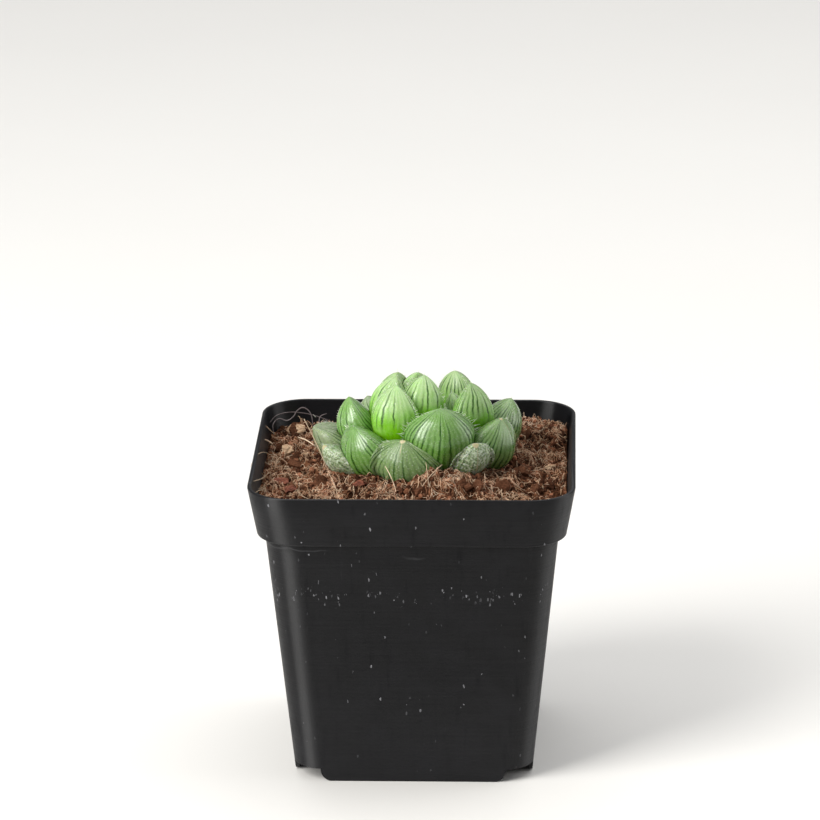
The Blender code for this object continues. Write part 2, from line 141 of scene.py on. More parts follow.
# name: facing (degrees from +X), reach, height, width, thickness, base reach, base height, bow
# Lengths are in millimetres from the crown. The list runs from the heart of the rosette outwards.
LEAVES = {
    "heart_leaf_1": (70, 1.8, 11.5, 5.5, 4.5, 1.0, -0.6, 0.08),
    "heart_leaf_2": (-60, 2.4, 12.5, 6.0, 5.0, 1.2, -0.6, 0.08),
    "heart_leaf_3": (178, 2.6, 12.5, 6.0, 5.0, 1.4, -0.6, 0.08),
    "heart_leaf_4": (8, 4.2, 13.5, 6.5, 5.0, 1.8, -0.6, 0.10),
    "inner_leaf_front": (246, 2.6, 18.0, 9.0, 6.5, 1.5, -0.8, 0.14),
    "inner_leaf_back": (125, 4.4, 16.6, 8.0, 6.0, 2.0, -0.8, 0.18),
    "inner_leaf_front_left": (224, 9.0, 17.1, 10.5, 8.5, 2.5, -1.0, 0.18),
    "inner_leaf_right": (-20, 8.5, 16.6, 9.5, 8.0, 2.5, -1.0, 0.13),
    "inner_leaf_back_right": (50, 7.2, 16.4, 8.5, 7.0, 2.5, -1.0, 0.18),
    "inner_leaf_back_left": (150, 7.6, 16.6, 9.0, 7.0, 2.5, -1.0, 0.18),
    "inner_leaf_left": (182, 6.6, 17.0, 9.0, 7.5, 2.5, -1.0, 0.18),
    "middle_leaf_front": (-80, 14.0, 14.8, 14.0, 9.5, 3.0, -1.0, 0.18),
    "middle_leaf_left": (186, 16.2, 13.2, 9.5, 7.5, 3.5, -1.0, 0.18),
    "middle_leaf_front_left": (215, 18.0, 9.8, 13.5, 8.5, 3.5, -1.0, 0.18),
    "middle_leaf_front_right": (-27, 15.8, 10.6, 13.0, 8.5, 3.5, -1.0, 0.18),
    "middle_leaf_right": (20, 17.0, 10.6, 10.5, 8.0, 3.5, -1.0, 0.18),
    "middle_leaf_back_left": (142, 16.5, 9.6, 10.0, 7.0, 3.5, -1.0, 0.18),
    "middle_leaf_back_right": (62, 14.5, 11.5, 11.0, 8.0, 3.5, -1.0, 0.18),
    "middle_leaf_back": (100, 14.0, 10.8, 11.5, 8.0, 3.5, -1.0, 0.18),
    "outer_leaf_front": (-108, 16.2, 8.6, 15.5, 8.5, 4.0, -1.0, 0.18),
    "outer_leaf_front_right": (-58, 17.5, 7.8, 10.0, 6.0, 5.0, 1.0, 0.18),
    "outer_leaf_left": (180, 22.8, 8.4, 9.5, 7.0, 5.0, -1.0, 0.18),
    "outer_leaf_front_left": (203, 22.7, 5.3, 9.5, 5.5, 6.0, 0.5, 0.18),
    "outer_leaf_back_right": (40, 19.0, 6.5, 10.5, 6.5, 5.0, -1.0, 0.18),
    "outer_leaf_back": (80, 20.0, 7.0, 12.0, 7.0, 5.0, -1.0, 0.18),
    "outer_leaf_back_left": (121, 19.5, 7.0, 11.0, 7.0, 5.0, -1.0, 0.18),
    "outer_leaf_far_left": (161, 20.5, 4.6, 9.0, 5.0, 6.0, 0.5, 0.18),
}

# How far the drying has come on each leaf that shows it: from the tip, and all over as warts
DRY_TIPS = {
    "outer_leaf_front": 0.020,
    "middle_leaf_front_right": 0.018,
    "outer_leaf_left": 0.03,
    "outer_leaf_front_left": 0.042,
    "outer_leaf_front_right": 0.038,
    "outer_leaf_far_left": 0.16,
    "outer_leaf_back": 0.05,
}
WARTY = {"outer_leaf_front_left": 0.85, "outer_leaf_front_right": 1.0, "outer_leaf_far_left": 0.9}
FADED = {
    "outer_leaf_left": 0.9,
    "outer_leaf_far_left": 0.8,
    "outer_leaf_front_left": 0.5,
    "outer_leaf_front_right": 0.15,
    "middle_leaf_back_left": 0.7,
    "middle_leaf_right": 0.5,
    "outer_leaf_back": 0.5,
    "middle_leaf_front_right": 0.35,
    "inner_leaf_back_left": 0.5,
    "inner_leaf_back_right": 0.35,
}
# How much darker each leaf's green is painted than its neighbours': painted shade on leaves that take less
# light, with leaf-to-leaf tone
LEAF_SHADE_AND_TONE = {
    "inner_leaf_right": 0.6,
    "middle_leaf_front": 0.3,
    "middle_leaf_front_left": 0.2,
    "middle_leaf_front_right": 0.2,
    "outer_leaf_front": 0.25,
}
# How far the tip of a worn leaf has sunk, in millimetres
BLUNT = {"outer_leaf_left": 1.8}

# name: centre x, y, height above the soil, then the three half sizes and a turn in degrees; millimetres
CHIPS = {
    "bark_chip_left": (-26.1, -8.4, 0.4, 1.5, 1.3, 1.0, 20),
    "bark_chip_front_left": (-24.3, -12.6, 0.3, 1.9, 1.2, 0.9, -35),
    "bark_chip_front": (-10.5, -12.5, 0.5, 1.6, 1.1, 0.9, 10),
    "wood_crumb_left": (-25.9, 10.0, 0.5, 1.1, 2.0, 1.3, 15),
    "wood_crumb_back_left": (-25.2, 25.2, 0.5, 2.0, 1.4, 1.2, -10),
    "wood_crumb_right": (26.6, 0.5, 0.3, 1.2, 0.9, 0.8, 30),
}


# ---------------------------------------------------------------- settings


class PotSettings(bpy.types.PropertyGroup):
    colour: FloatVectorProperty(
        name="Plastic Colour", description="Colour of the pot's plastic", subtype="COLOR",
        default=(0.0030, 0.0030, 0.0037), min=0, max=1,
    )
    # This colour also tints the painted reflection on the lower part of the pot
    dust_and_reflection_colour: FloatVectorProperty(
        name="Dust Colour", description="Colour of the dried water specks", subtype="COLOR",
        default=(0.30, 0.30, 0.32), min=0, max=1,
    )
    roughness: FloatProperty(
        name="Roughness", description="How dull the plastic is", default=0.42, min=0, max=1, subtype="FACTOR",
    )
    lip: FloatProperty(
        name="Lip Rounding", description="Radius of the rounded rim edge", default=0.28 * MM,
        min=0.05 * MM, max=0.39 * MM, unit="LENGTH",
    )
    corner_steps: IntProperty(
        name="Corner Steps", description="Faces round each corner of the pot", default=14, min=4, max=32,
    )


class LeafSettings(bpy.types.PropertyGroup):
    segments: IntProperty(
        name="Segments", description="Faces round a leaf", default=88, min=24, max=128,
    )
    rings: IntProperty(name="Rings", description="Faces along a leaf", default=72, min=24, max=96)
    line_spacing: FloatProperty(
        name="Line Spacing", description="Distance between the dark lines where a leaf is widest",
        default=1.02 * MM, min=0.5 * MM, max=3 * MM, unit="LENGTH",
    )
    tooth_length: FloatProperty(
        name="Tooth Length", description="Length of the longest teeth on a leaf's edges",
        default=1.9 * MM, min=0.1 * MM, max=3 * MM, unit="LENGTH",
    )
    tooth_width: FloatProperty(
        name="Tooth Width", description="Width of a tooth where it leaves the leaf",
        default=0.10 * MM, min=0.03 * MM, max=0.4 * MM, unit="LENGTH",
    )
    young_colour: FloatVectorProperty(
        name="Young Leaf", description="Flesh of the young leaves, low down", subtype="COLOR",
        default=(0.155, 0.43, 0.002), min=0, max=1,
    )
    window_colour: FloatVectorProperty(
        name="Window", description="The clear upper part of the young leaves", subtype="COLOR",
        default=(0.47, 0.59, 0.345), min=0, max=1,
    )
    grown_colour: FloatVectorProperty(
        name="Grown Leaf", description="Flesh of the grown leaves", subtype="COLOR",
        default=(0.105, 0.25, 0.034), min=0, max=1,
    )
    old_colour: FloatVectorProperty(
        name="Old Leaf", description="Flesh of the oldest leaves", subtype="COLOR",
        default=(0.145, 0.22, 0.085), min=0, max=1,
    )
    line_colour: FloatVectorProperty(
        name="Line", description="The dark lines that run along a leaf", subtype="COLOR",
        default=(0.016, 0.068, 0.004), min=0, max=1,
    )
    faded_colour: FloatVectorProperty(
        name="Faded Leaf", description="What the flesh fades to near the tips of old leaves", subtype="COLOR",
        default=(0.25, 0.265, 0.18), min=0, max=1,
    )
    dry_colour: FloatVectorProperty(
        name="Dry Skin", description="Dried skin at the tips", subtype="COLOR",
        default=(0.50, 0.43, 0.26), min=0, max=1,
    )


class SoilSettings(bpy.types.PropertyGroup):
    # The dark colour serves the damp patches, the dark specks and the painted shade in the hollows between
    # clods
    dark_colour: FloatVectorProperty(
        name="Damp Coir", description="Coir deep between the clods", subtype="COLOR",
        default=(0.014, 0.005, 0.002), min=0, max=1,
    )
    colour: FloatVectorProperty(
        name="Coir", description="Coir on top of the clods", subtype="COLOR",
        default=(0.23, 0.10, 0.052), min=0, max=1,
    )
    fibres: IntProperty(
        name="Fibres", description="Loose fibres of each of the common shades", default=3700, min=0, max=6000,
    )
    crumbs: IntProperty(name="Crumbs", description="Loose crumbs on the soil", default=2600, min=0, max=6000)


class StageSettings(bpy.types.PropertyGroup):
    azimuth: FloatProperty(
        name="Azimuth", description="Camera's turn round the pot", default=math.radians(2.08),
        subtype="ANGLE",
    )
    elevation: FloatProperty(
        name="Elevation", description="Camera's angle above level", default=math.radians(17.99),
        subtype="ANGLE",
    )
    roll: FloatProperty(
        name="Roll", description="Camera's tilt to one side", default=math.radians(-0.394), subtype="ANGLE",
    )
    distance: FloatProperty(
        name="Distance", description="Camera to the middle of the view", default=0.8995, unit="LENGTH",
    )
    lens: FloatProperty(name="Lens", description="Focal length in millimetres", default=200.1)
    floor_colour: FloatVectorProperty(
        name="Floor Colour", description="Colour of the pale floor", subtype="COLOR",
        default=(0.76, 0.745, 0.715), min=0, max=1,
    )


# ---------------------------------------------------------------- modelling helpers


def deselect():
    if bpy.context.mode != "OBJECT":
        bpy.ops.object.mode_set(mode="OBJECT")
    bpy.ops.object.select_all(action="DESELECT")


def activate(obj):
    deselect()
    obj.select_set(True)
    bpy.context.view_layer.objects.active = obj


def take_new(name):
    """Names the object that an operator has just added."""
    obj = bpy.context.object
    obj.name = name
    obj.data.name = name
    return obj


def settle(obj):
    """Puts the object's place, turn and size into its mesh."""
    activate(obj)
    bpy.ops.object.transform_apply(location=True, rotation=True, scale=True)


def apply_modifier(obj, kind, **values):
    activate(obj)
    bpy.ops.object.modifier_add(type=kind)
    modifier = obj.modifiers[-1]
    for key, value in values.items():
        setattr(modifier, key, value)
    bpy.ops.object.modifier_apply(modifier=modifier.name)


def edit_all():
    bpy.ops.object.mode_set(mode="EDIT")
    bpy.ops.mesh.select_all(action="SELECT")


def face_out():
    """Turns every face outwards and leaves edit mode."""
    bpy.ops.mesh.select_all(action="SELECT")
    bpy.ops.mesh.normals_make_consistent(inside=False)
    bpy.ops.object.mode_set(mode="OBJECT")


def cut(obj, cutter, operation="DIFFERENCE"):
    apply_modifier(obj, "BOOLEAN", operation=operation, object=cutter, solver="EXACT")
    bpy.data.objects.remove(cutter, do_unlink=True)


def read_points(mesh):
    points = np.empty(len(mesh.vertices) * 3, dtype=np.float32)
    mesh.vertices.foreach_get("co", points)
    return points.reshape(-1, 3).astype(np.float64)


def write_points(mesh, points):
    mesh.vertices.foreach_set("co", np.asarray(points, dtype=np.float32).ravel())
    mesh.update()


def write_attribute(mesh, name, values):
    layer = mesh.attributes.new(name, "FLOAT", "POINT")
    layer.data.foreach_set("value", np.asarray(values, dtype=np.float32))


def join_copies(name, template, places):
    """One mesh of many copies of a small one. places is an array of 4 by 4 matrices."""
    points = read_points(template)
    faces = np.array([list(p.vertices) for p in template.polygons])
    spread = np.einsum("nij,pj->npi", places[:, :3, :3], points) + places[:, None, :3, 3]
    offsets = (np.arange(len(places)) * len(points))[:, None, None]
    mesh = bpy.data.meshes.new(name)
    faces = (faces[None] + offsets).reshape(-1, faces.shape[1])
    mesh.from_pydata(spread.reshape(-1, 3).tolist(), [], faces.tolist())
    obj = bpy.data.objects.new(name, mesh)
    bpy.context.scene.collection.objects.link(obj)
    return obj


def flesh_faces(mesh):
    """The faces of the first material as point numbers, in an order that is the same on every run."""
    faces = []
    for face in mesh.polygons:
        if face.material_index == 0:
            corners = list(face.vertices)
            first = corners.index(min(corners))
            faces.append(tuple(corners[first:] + corners[:first]))
    return sorted(faces)


def smooth(obj, angle=None):
    activate(obj)
    if angle is None:
        bpy.ops.object.shade_smooth()
    else:
        bpy.ops.object.shade_smooth_by_angle(angle=math.radians(angle))


def place_piece(obj, slot, *nodes):
    """Hands a finished piece to the frame."""
    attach(obj, BODY)
    if nodes:
        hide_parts(*nodes)


# ---------------------------------------------------------------- material helpers


def add_node(tree, kind, inputs=None, **settings):
    made = tree.nodes.new(kind)
    for key, value in settings.items():
        setattr(made, key, value)
    for key, value in (inputs or {}).items():
        feed(tree, value, made.inputs[key])
    return made


def feed(tree, value, socket):
    """Links an output to a socket, or sets the socket's own value."""
    if isinstance(value, bpy.types.NodeSocket):
        tree.links.new(value, socket)
    elif isinstance(socket.default_value, float) or isinstance(value, (int, float)):
        socket.default_value = value
    else:
        value = tuple(value)
        room = len(socket.default_value)
        socket.default_value = value + (1.0,) * (room - len(value)) if room > len(value) else value


def calc(tree, operation, *values, clamp=False):
    made = tree.nodes.new("ShaderNodeMath")
    made.operation = operation
    made.use_clamp = clamp
    for value, socket in zip(values, made.inputs):
        feed(tree, value, socket)
    return made.outputs[0]


def times(tree, first, *others):
    for other in others:
        first = calc(tree, "MULTIPLY", first, other)
    return first


def plus(tree, first, *others):
    for other in others:
        first = calc(tree, "ADD", first, other)
    return first


def minus(tree, first, second):
    return calc(tree, "SUBTRACT", first, second)


def ramp_value(tree, value, low, high, to_low=0.0, to_high=1.0):
    """A smooth rise from to_low to to_high as value goes from low to high."""
    made = add_node(tree, "ShaderNodeMapRange", interpolation_type="SMOOTHSTEP")
    for socket, given in zip(made.inputs, (value, low, high, to_low, to_high)):
        feed(tree, given, socket)
    return made.outputs["Result"]


def shade(colour, by):
    return [min(1.0, c * by) for c in colour]


def midway(first, second, share):
    return [a * (1 - share) + b * share for a, b in zip(first, second)]


def mix_colour(tree, share, first, second, blend="MIX"):
    made = add_node(tree, "ShaderNodeMix", data_type="RGBA", blend_type=blend)
    feed(tree, share, made.inputs[0])
    feed(tree, first, made.inputs[6])
    feed(tree, second, made.inputs[7])
    return made.outputs[2]


def noise_value(tree, vector, scale, detail=2.0, roughness=0.5):
    inputs = {"Vector": vector, "Scale": scale, "Detail": detail, "Roughness": roughness}
    return add_node(tree, "ShaderNodeTexNoise", inputs).outputs["Fac"]


def object_place(tree):
    return add_node(tree, "ShaderNodeTexCoord").outputs["Object"]


def stretched(tree, place, *scale):
    return add_node(tree, "ShaderNodeMapping", {"Vector": place, "Scale": scale}).outputs[0]


def attribute_value(tree, name):
    return add_node(tree, "ShaderNodeAttribute", attribute_name=name).outputs["Fac"]


def new_group(name, inputs, outputs):
    """A shader node group. inputs and outputs map a socket's name to its default value."""
    tree = bpy.data.node_groups.new(name, "ShaderNodeTree")
    for in_out, sockets in (("INPUT", inputs), ("OUTPUT", outputs)):
        for label, default in sockets.items():
            kind = "NodeSocketFloat" if isinstance(default, float) else "NodeSocketColor"
            socket = tree.interface.new_socket(label, in_out=in_out, socket_type=kind)
            socket.default_value = default if isinstance(default, float) else (*default, 1.0)
    return tree, tree.nodes.new("NodeGroupInput").outputs, tree.nodes.new("NodeGroupOutput").inputs


def use_group(tree, name, **values):
    made = tree.nodes.new("ShaderNodeGroup")
    made.node_tree = bpy.data.node_groups[name]
    for key, value in values.items():
        feed(tree, value, made.inputs[key.replace("_", " ").title()])
    return made.outputs


def new_material(name, **constants):
    material = bpy.data.materials.new(name)
    material.use_nodes = True
    tree = material.node_tree
    shader = tree.nodes["Principled BSDF"]
    for key, value in constants.items():
        feed(tree, value, shader.inputs[key.replace("_", " ").title().replace("Ior", "IOR")])
    return material, tree, shader


def bump(tree, shader, height, distance, strength=1.0):
    made = add_node(tree, "ShaderNodeBump", {"Height": height, "Distance": distance, "Strength": strength})
    tree.links.new(made.outputs["Normal"], shader.inputs["Normal"])


# ---------------------------------------------------------------- shared node groups


def make_grain_group():
    """Fibrous grain: a mask of fine streaks and specks, and its height."""
    tree, given, result = new_group(
        "Coir Grain", {"Scale": 1000.0, "Stretch": 4.0}, {"Streaks": 0.0, "Specks": 0.0, "Height": 0.0}
    )
    place = object_place(tree)
    squash = add_node(tree, "ShaderNodeCombineXYZ", {"X": 1.0, "Y": given["Stretch"], "Z": given["Stretch"]})
    drawn = add_node(
        tree, "ShaderNodeVectorMath", {0: place, 1: squash.outputs[0]}, operation="MULTIPLY"
    ).outputs[0]
    streaks = noise_value(tree, drawn, given["Scale"], 4.0, 0.65)
    specks = noise_value(tree, place, times(tree, given["Scale"], 2.3), 3.0, 0.7)
    feed(tree, ramp_value(tree, streaks, 0.35, 0.68), result["Streaks"])
    feed(tree, ramp_value(tree, specks, 0.42, 0.64), result["Specks"])
    feed(tree, plus(tree, streaks, times(tree, specks, 0.6)), result["Height"])


def make_specks_group():
    """Small dried specks and faint smears, thickest about one height."""
    tree, given, result = new_group(
        "Dried Specks",
        {"Band Height": 0.040, "Band Depth": 0.0012, "Amount": 0.5},
        {"Specks": 0.0, "Film": 0.0},
    )
    place = object_place(tree)
    parts = add_node(tree, "ShaderNodeSeparateXYZ", {0: place}).outputs
    tall = stretched(tree, place, 4000.0, 4000.0, 1700.0)
    cells = add_node(tree, "ShaderNodeTexVoronoi", {"Vector": tall, "Scale": 1.0, "Randomness": 1.0})
    size = add_node(tree, "ShaderNodeSeparateColor", {0: cells.outputs["Color"]}).outputs
    widest = times(tree, calc(tree, "POWER", size[0], 3.0), 0.36)
    spot = ramp_value(tree, cells.outputs["Distance"], widest, 0.05)
    wander = times(tree, minus(tree, noise_value(tree, place, 90.0), 0.5), 0.006)
    level = minus(tree, plus(tree, parts[2], wander), given["Band Height"])
    inner_depth = times(tree, given["Band Depth"], 0.2)
    band = ramp_value(tree, calc(tree, "ABSOLUTE", level), given["Band Depth"], inner_depth)
    patches = ramp_value(tree, noise_value(tree, place, 150.0, 3.0), 0.44, 0.62)
    chance = times(tree, band, patches, 0.34)
    kept = calc(tree, "GREATER_THAN", plus(tree, chance, 0.0045), size[1])
    faint = ramp_value(tree, calc(tree, "POWER", size[2], 2.0), 0.0, 1.0, 0.12, 1.0)
    specks = times(tree, spot, kept, faint)
    feed(tree, calc(tree, "MULTIPLY", specks, given["Amount"], clamp=True), result["Specks"])
    runs = stretched(tree, place, 420.0, 420.0, 22.0)
    film = ramp_value(tree, noise_value(tree, runs, 1.0, 5.0, 0.65), 0.62, 0.82)
    upper = minus(tree, level, 9.4 * MM)
    tide = ramp_value(tree, calc(tree, "ABSOLUTE", upper), 0.22 * MM, 0.04 * MM)
    tide = times(tree, tide, ramp_value(tree, noise_value(tree, place, 70.0, 4.0), 0.50, 0.64, 0.0, 2.5))
    feed(tree, plus(tree, film, tide), result["Film"])


def make_lines_group():
    """The dark lines along a leaf. They follow its UV map: U runs round the leaf, and V from base to tip."""
    tree, given, result = new_group(
        "Leaf Lines",
        {"Width": 0.17, "Waver": 0.5, "Rise": 0.2},
        {"Lines": 0.0, "Beside": 0.0, "Window": 0.0, "Height": 0.0},
    )
    place = object_place(tree)
    uv = add_node(tree, "ShaderNodeUVMap", uv_map="UVMap").outputs[0]
    around = add_node(tree, "ShaderNodeSeparateXYZ", {0: uv}).outputs[0]
    along = attribute_value(tree, "along")
    count = attribute_value(tree, "lines")
    gap = attribute_value(tree, "line_gap")
    waver = minus(tree, noise_value(tree, place, 260.0, 5.0, 0.6), 0.5)
    turn = plus(tree, times(tree, around, count), times(tree, waver, given["Waver"]))
    number = calc(tree, "FLOOR", turn)
    chance = add_node(tree, "ShaderNodeTexWhiteNoise", {"W": number}, noise_dimensions="1D").outputs
    other = add_node(tree, "ShaderNodeSeparateColor", {0: chance["Color"]}).outputs
    off = calc(tree, "ABSOLUTE", minus(tree, calc(tree, "FRACT", turn), 0.5))
    thinning = ramp_value(tree, along, 0.3, 1.0, 1.0, 0.42)
    thickness = times(tree, given["Width"], thinning, plus(tree, times(tree, other[0], 0.8), 0.95))
    share = calc(tree, "MINIMUM", calc(tree, "DIVIDE", thickness, gap), 0.2)
    edge = plus(tree, share, calc(tree, "MINIMUM", calc(tree, "DIVIDE", 0.10, gap), 0.14))
    line = ramp_value(tree, off, edge, times(tree, share, 0.5))
    low = plus(tree, given["Rise"], times(tree, minus(tree, other[1], 0.4), 0.18))
    line = times(tree, line, ramp_value(tree, along, low, plus(tree, low, 0.16)))
    high = plus(tree, 0.8, times(tree, other[2], 0.32))
    line = times(tree, line, ramp_value(tree, along, high, minus(tree, high, 0.22)))
    worn = ramp_value(tree, noise_value(tree, place, 520.0, 3.0), 0.3, 0.5, 0.6, 1.0)
    line = times(tree, line, worn)
    between = calc(tree, "FRACT", plus(tree, times(tree, turn, 3.0), times(tree, waver, 1.6)))
    thin = ramp_value(tree, calc(tree, "ABSOLUTE", minus(tree, between, 0.5)), 0.20, 0.04)
    broken = ramp_value(tree, noise_value(tree, place, 700.0, 3.0), 0.48, 0.60, 0.0, 0.42)
    thin = times(tree, thin, broken, ramp_value(tree, along, low, 0.9, 1.0, 0.4))
    line = calc(tree, "MAXIMUM", line, thin)
    feed(tree, line, result["Lines"])
    feed(tree, ramp_value(tree, off, 0.40, 0.12), result["Beside"])
    clear = plus(tree, ramp_value(tree, off, 0.16, 0.44), times(tree, other[1], -0.35))
    from_low = ramp_value(tree, along, low, plus(tree, low, 0.10))
    fading = ramp_value(tree, along, plus(tree, 0.9, times(tree, other[0], -0.3)), 0.5)
    clear = calc(tree, "MULTIPLY", times(tree, clear, from_low), fading, clamp=True)
    feed(tree, clear, result["Window"])
    feed(tree, minus(tree, times(tree, off, 0.5), times(tree, line, 0.6)), result["Height"])


def make_skin_group():
    """The fine pimpled skin of a leaf: its height, and a mask of pale pimples that is painted in part as a
    speckled sheen.
    """
    tree, given, result = new_group(
        "Pimpled Skin",
        {"Scale": 3600.0, "Roughening": 0.5},
        {"Pimples And Sheen": 0.0, "Height": 0.0, "Clouds": 0.0, "Flecks": 0.0},
    )
    place = object_place(tree)
    cells = add_node(tree, "ShaderNodeTexVoronoi", {"Vector": place, "Scale": given["Scale"]})
    cells = cells.outputs["Distance"]
    dome = minus(tree, 1.0, cells)
    dents = noise_value(tree, place, 900.0, 3.0, 0.6)
    clouds = noise_value(tree, place, 210.0, 3.0, 0.55)
    feed(tree, ramp_value(tree, cells, 0.42, 0.1), result["Pimples And Sheen"])
    rough = times(tree, dents, given["Roughening"])
    feed(tree, plus(tree, times(tree, dome, 0.35), rough), result["Height"])
    feed(tree, ramp_value(tree, clouds, 0.3, 0.7), result["Clouds"])
    flecks = noise_value(tree, place, 2100.0, 4.0, 0.7)
    feed(tree, ramp_value(tree, plus(tree, flecks, times(tree, clouds, 0.25)), 0.57, 0.72), result["Flecks"])


# ---------------------------------------------------------------- materials


def make_plastic():
    pot = bpy.context.scene.haworthia_pot
    material, tree, shader = new_material(
        "black_plastic", specular_ior_level=0.30, anisotropic=1.0, anisotropic_rotation=0.25
    )
    place = object_place(tree)
    parts = add_node(tree, "ShaderNodeSeparateXYZ", {0: place}).outputs
    dust = use_group(tree, "Dried Specks", band_height=40.2 * MM, band_depth=2.6 * MM, amount=0.6)
    mottle = noise_value(tree, place, 160.0, 4.0, 0.6)
    base = mix_colour(tree, ramp_value(tree, mottle, 0.35, 0.7), pot.colour, shade(pot.colour, 1.5))
    # Painted reflection of the floor: the lowest 30 mm of the pot is painted slightly paler towards the
    # bottom
    lower_reflection = ramp_value(tree, parts[2], 30 * MM, 0.0, 0.0, 0.016)
    # film: the dried film and tide line, plus the painted reflection low on the pot
    film = plus(tree, times(tree, dust["Film"], 0.03), lower_reflection)
    base = mix_colour(tree, film, base, pot.dust_and_reflection_colour)
    feed(tree, mix_colour(tree, dust["Specks"], base, pot.dust_and_reflection_colour), shader.inputs["Base Color"])
    scuffed = stretched(tree, place, 900.0, 900.0, 60.0)
    scuffs = ramp_value(tree, noise_value(tree, scuffed, 1.0, 4.0), 0.55, 0.8, 0.0, 0.12)
    rough = plus(tree, pot.roughness, scuffs, times(tree, dust["Specks"], 0.4))
    draw_marks = stretched(tree, place, 30.0, 30.0, 2600.0)
    fine_marks = stretched(tree, place, 60.0, 60.0, 6500.0)
    banding = ramp_value(tree, noise_value(tree, fine_marks, 1.0, 3.0, 0.6), 0.3, 0.7, -0.035, 0.035)
    feed(tree, plus(tree, rough, banding), shader.inputs["Roughness"])
    ripple = plus(tree, noise_value(tree, fine_marks, 1.0), noise_value(tree, draw_marks, 1.0, 3.0, 0.6))
    pebble = noise_value(tree, place, 1400.0, 3.0, 0.6)
    height = plus(tree, times(tree, ripple, 0.8), times(tree, pebble, 0.12))
    height = plus(tree, height, times(tree, dust["Specks"], 0.5))
    bump(tree, shader, height, 0.04 * MM, 1.0)
    return material


def make_leaf_skin(name, low, middle, high, line_strength, window, rise, roughness, gloss, old):
    """Leaf skin. low, middle and high are its flesh at the base, halfway and at the tip, and old its age."""
    leaves = bpy.context.scene.haworthia_leaves
    material, tree, shader = new_material(
        name, specular_ior_level=0.24, subsurface_weight=0.35, subsurface_radius=(0.5, 1.0, 0.2),
        subsurface_scale=1.2 * MM, coat_roughness=0.2,
    )
    lines = use_group(tree, "Leaf Lines", width=0.15, waver=1.35, rise=rise)
    skin = use_group(tree, "Pimpled Skin", scale=2600.0 - 900.0 * old, roughening=0.5 + 0.5 * old)
    along = attribute_value(tree, "along")
    shifted = plus(tree, along, times(tree, minus(tree, skin["Clouds"], 0.5), 0.12))
    flesh = mix_colour(tree, ramp_value(tree, shifted, rise, rise + 0.16), low, middle)
    flesh = mix_colour(tree, ramp_value(tree, shifted, rise + 0.1, 0.92), flesh, high)
    greener = shade(middle, 0.62)
    near_line = times(tree, lines["Beside"], ramp_value(tree, along, rise, rise + 0.2, 0.0, 0.42))
    flesh = mix_colour(tree, near_line, flesh, greener)
    flesh = mix_colour(tree, times(tree, attribute_value(tree, "faded"), 0.75), flesh, leaves.faded_colour)
    clouded = times(tree, skin["Clouds"], ramp_value(tree, along, rise, rise + 0.25, 0.0, 0.22))
    flesh = mix_colour(tree, clouded, flesh, shade(middle, 1.35))
    flesh = mix_colour(tree, times(tree, lines["Window"], window), flesh, leaves.window_colour)
    # Painted shade and leaf tone: the flesh is darkened by each leaf's own amount
    shaded_and_toned = mix_colour(tree, 1.0, flesh, (0.50, 0.56, 0.42), "MULTIPLY")
    flesh = mix_colour(tree, attribute_value(tree, "deep"), flesh, shaded_and_toned)
    # Pale pimples: partly the skin's papillae, partly a painted speckled sheen
    pimples_and_sheen = times(tree, skin["Pimples And Sheen"], ramp_value(tree, along, rise, 0.85, 0.0, 0.12 + 0.14 * old))
    flesh = mix_colour(tree, pimples_and_sheen, flesh, (0.75, 0.8, 0.68))
    flesh = mix_colour(tree, times(tree, lines["Lines"], line_strength), flesh, leaves.line_colour)
    warts = times(tree, attribute_value(tree, "warty"), skin["Flecks"])
    flesh = mix_colour(tree, warts, flesh, (0.54, 0.61, 0.45))
    place = object_place(tree)
    ragged = times(tree, minus(tree, noise_value(tree, place, 620.0, 4.0, 0.6), 0.5), 0.9)
    dryness = attribute_value(tree, "dry")
    dry = ramp_value(tree, plus(tree, dryness, times(tree, ragged, dryness)), 0.25, 0.6)
    dry_dark, dry_light = shade(leaves.dry_colour, 0.6), shade(leaves.dry_colour, 1.4)
    dry_tone = mix_colour(tree, noise_value(tree, place, 1500.0, 3.0), dry_dark, dry_light)
    feed(tree, mix_colour(tree, dry, flesh, dry_tone), shader.inputs["Base Color"])
    patchy = noise_value(tree, place, 1300.0, 3.0)
    patchy = ramp_value(tree, patchy, 0.3, 0.7, roughness - 0.05, roughness + 0.14)
    feed(tree, plus(tree, patchy, times(tree, dry, 0.35)), shader.inputs["Roughness"])
    waxy = ramp_value(tree, shifted, rise - 0.1, rise + 0.2, 0.1, gloss)
    waxy = times(tree, waxy, minus(tree, 1.0, times(tree, lines["Beside"], 0.7)))
    feed(tree, times(tree, minus(tree, 1.0, dry), waxy), shader.inputs["Coat Weight"])
    height = plus(tree, skin["Height"], lines["Height"])
    height = plus(tree, height, times(tree, warts, 0.9))
    bump(tree, shader, height, 0.10 * MM, 0.75)
    return material


def make_tooth_skin():
    material, tree, shader = new_material(
        "leaf_tooth", roughness=0.35, subsurface_weight=0.4, subsurface_radius=(1.0, 1.0, 0.8),
        subsurface_scale=0.3 * MM,
    )
    tone = noise_value(tree, object_place(tree), 300.0)
    feed(tree, mix_colour(tree, tone, (0.48, 0.56, 0.36), (0.86, 0.90, 0.78)), shader.inputs["Base Color"])
    return material


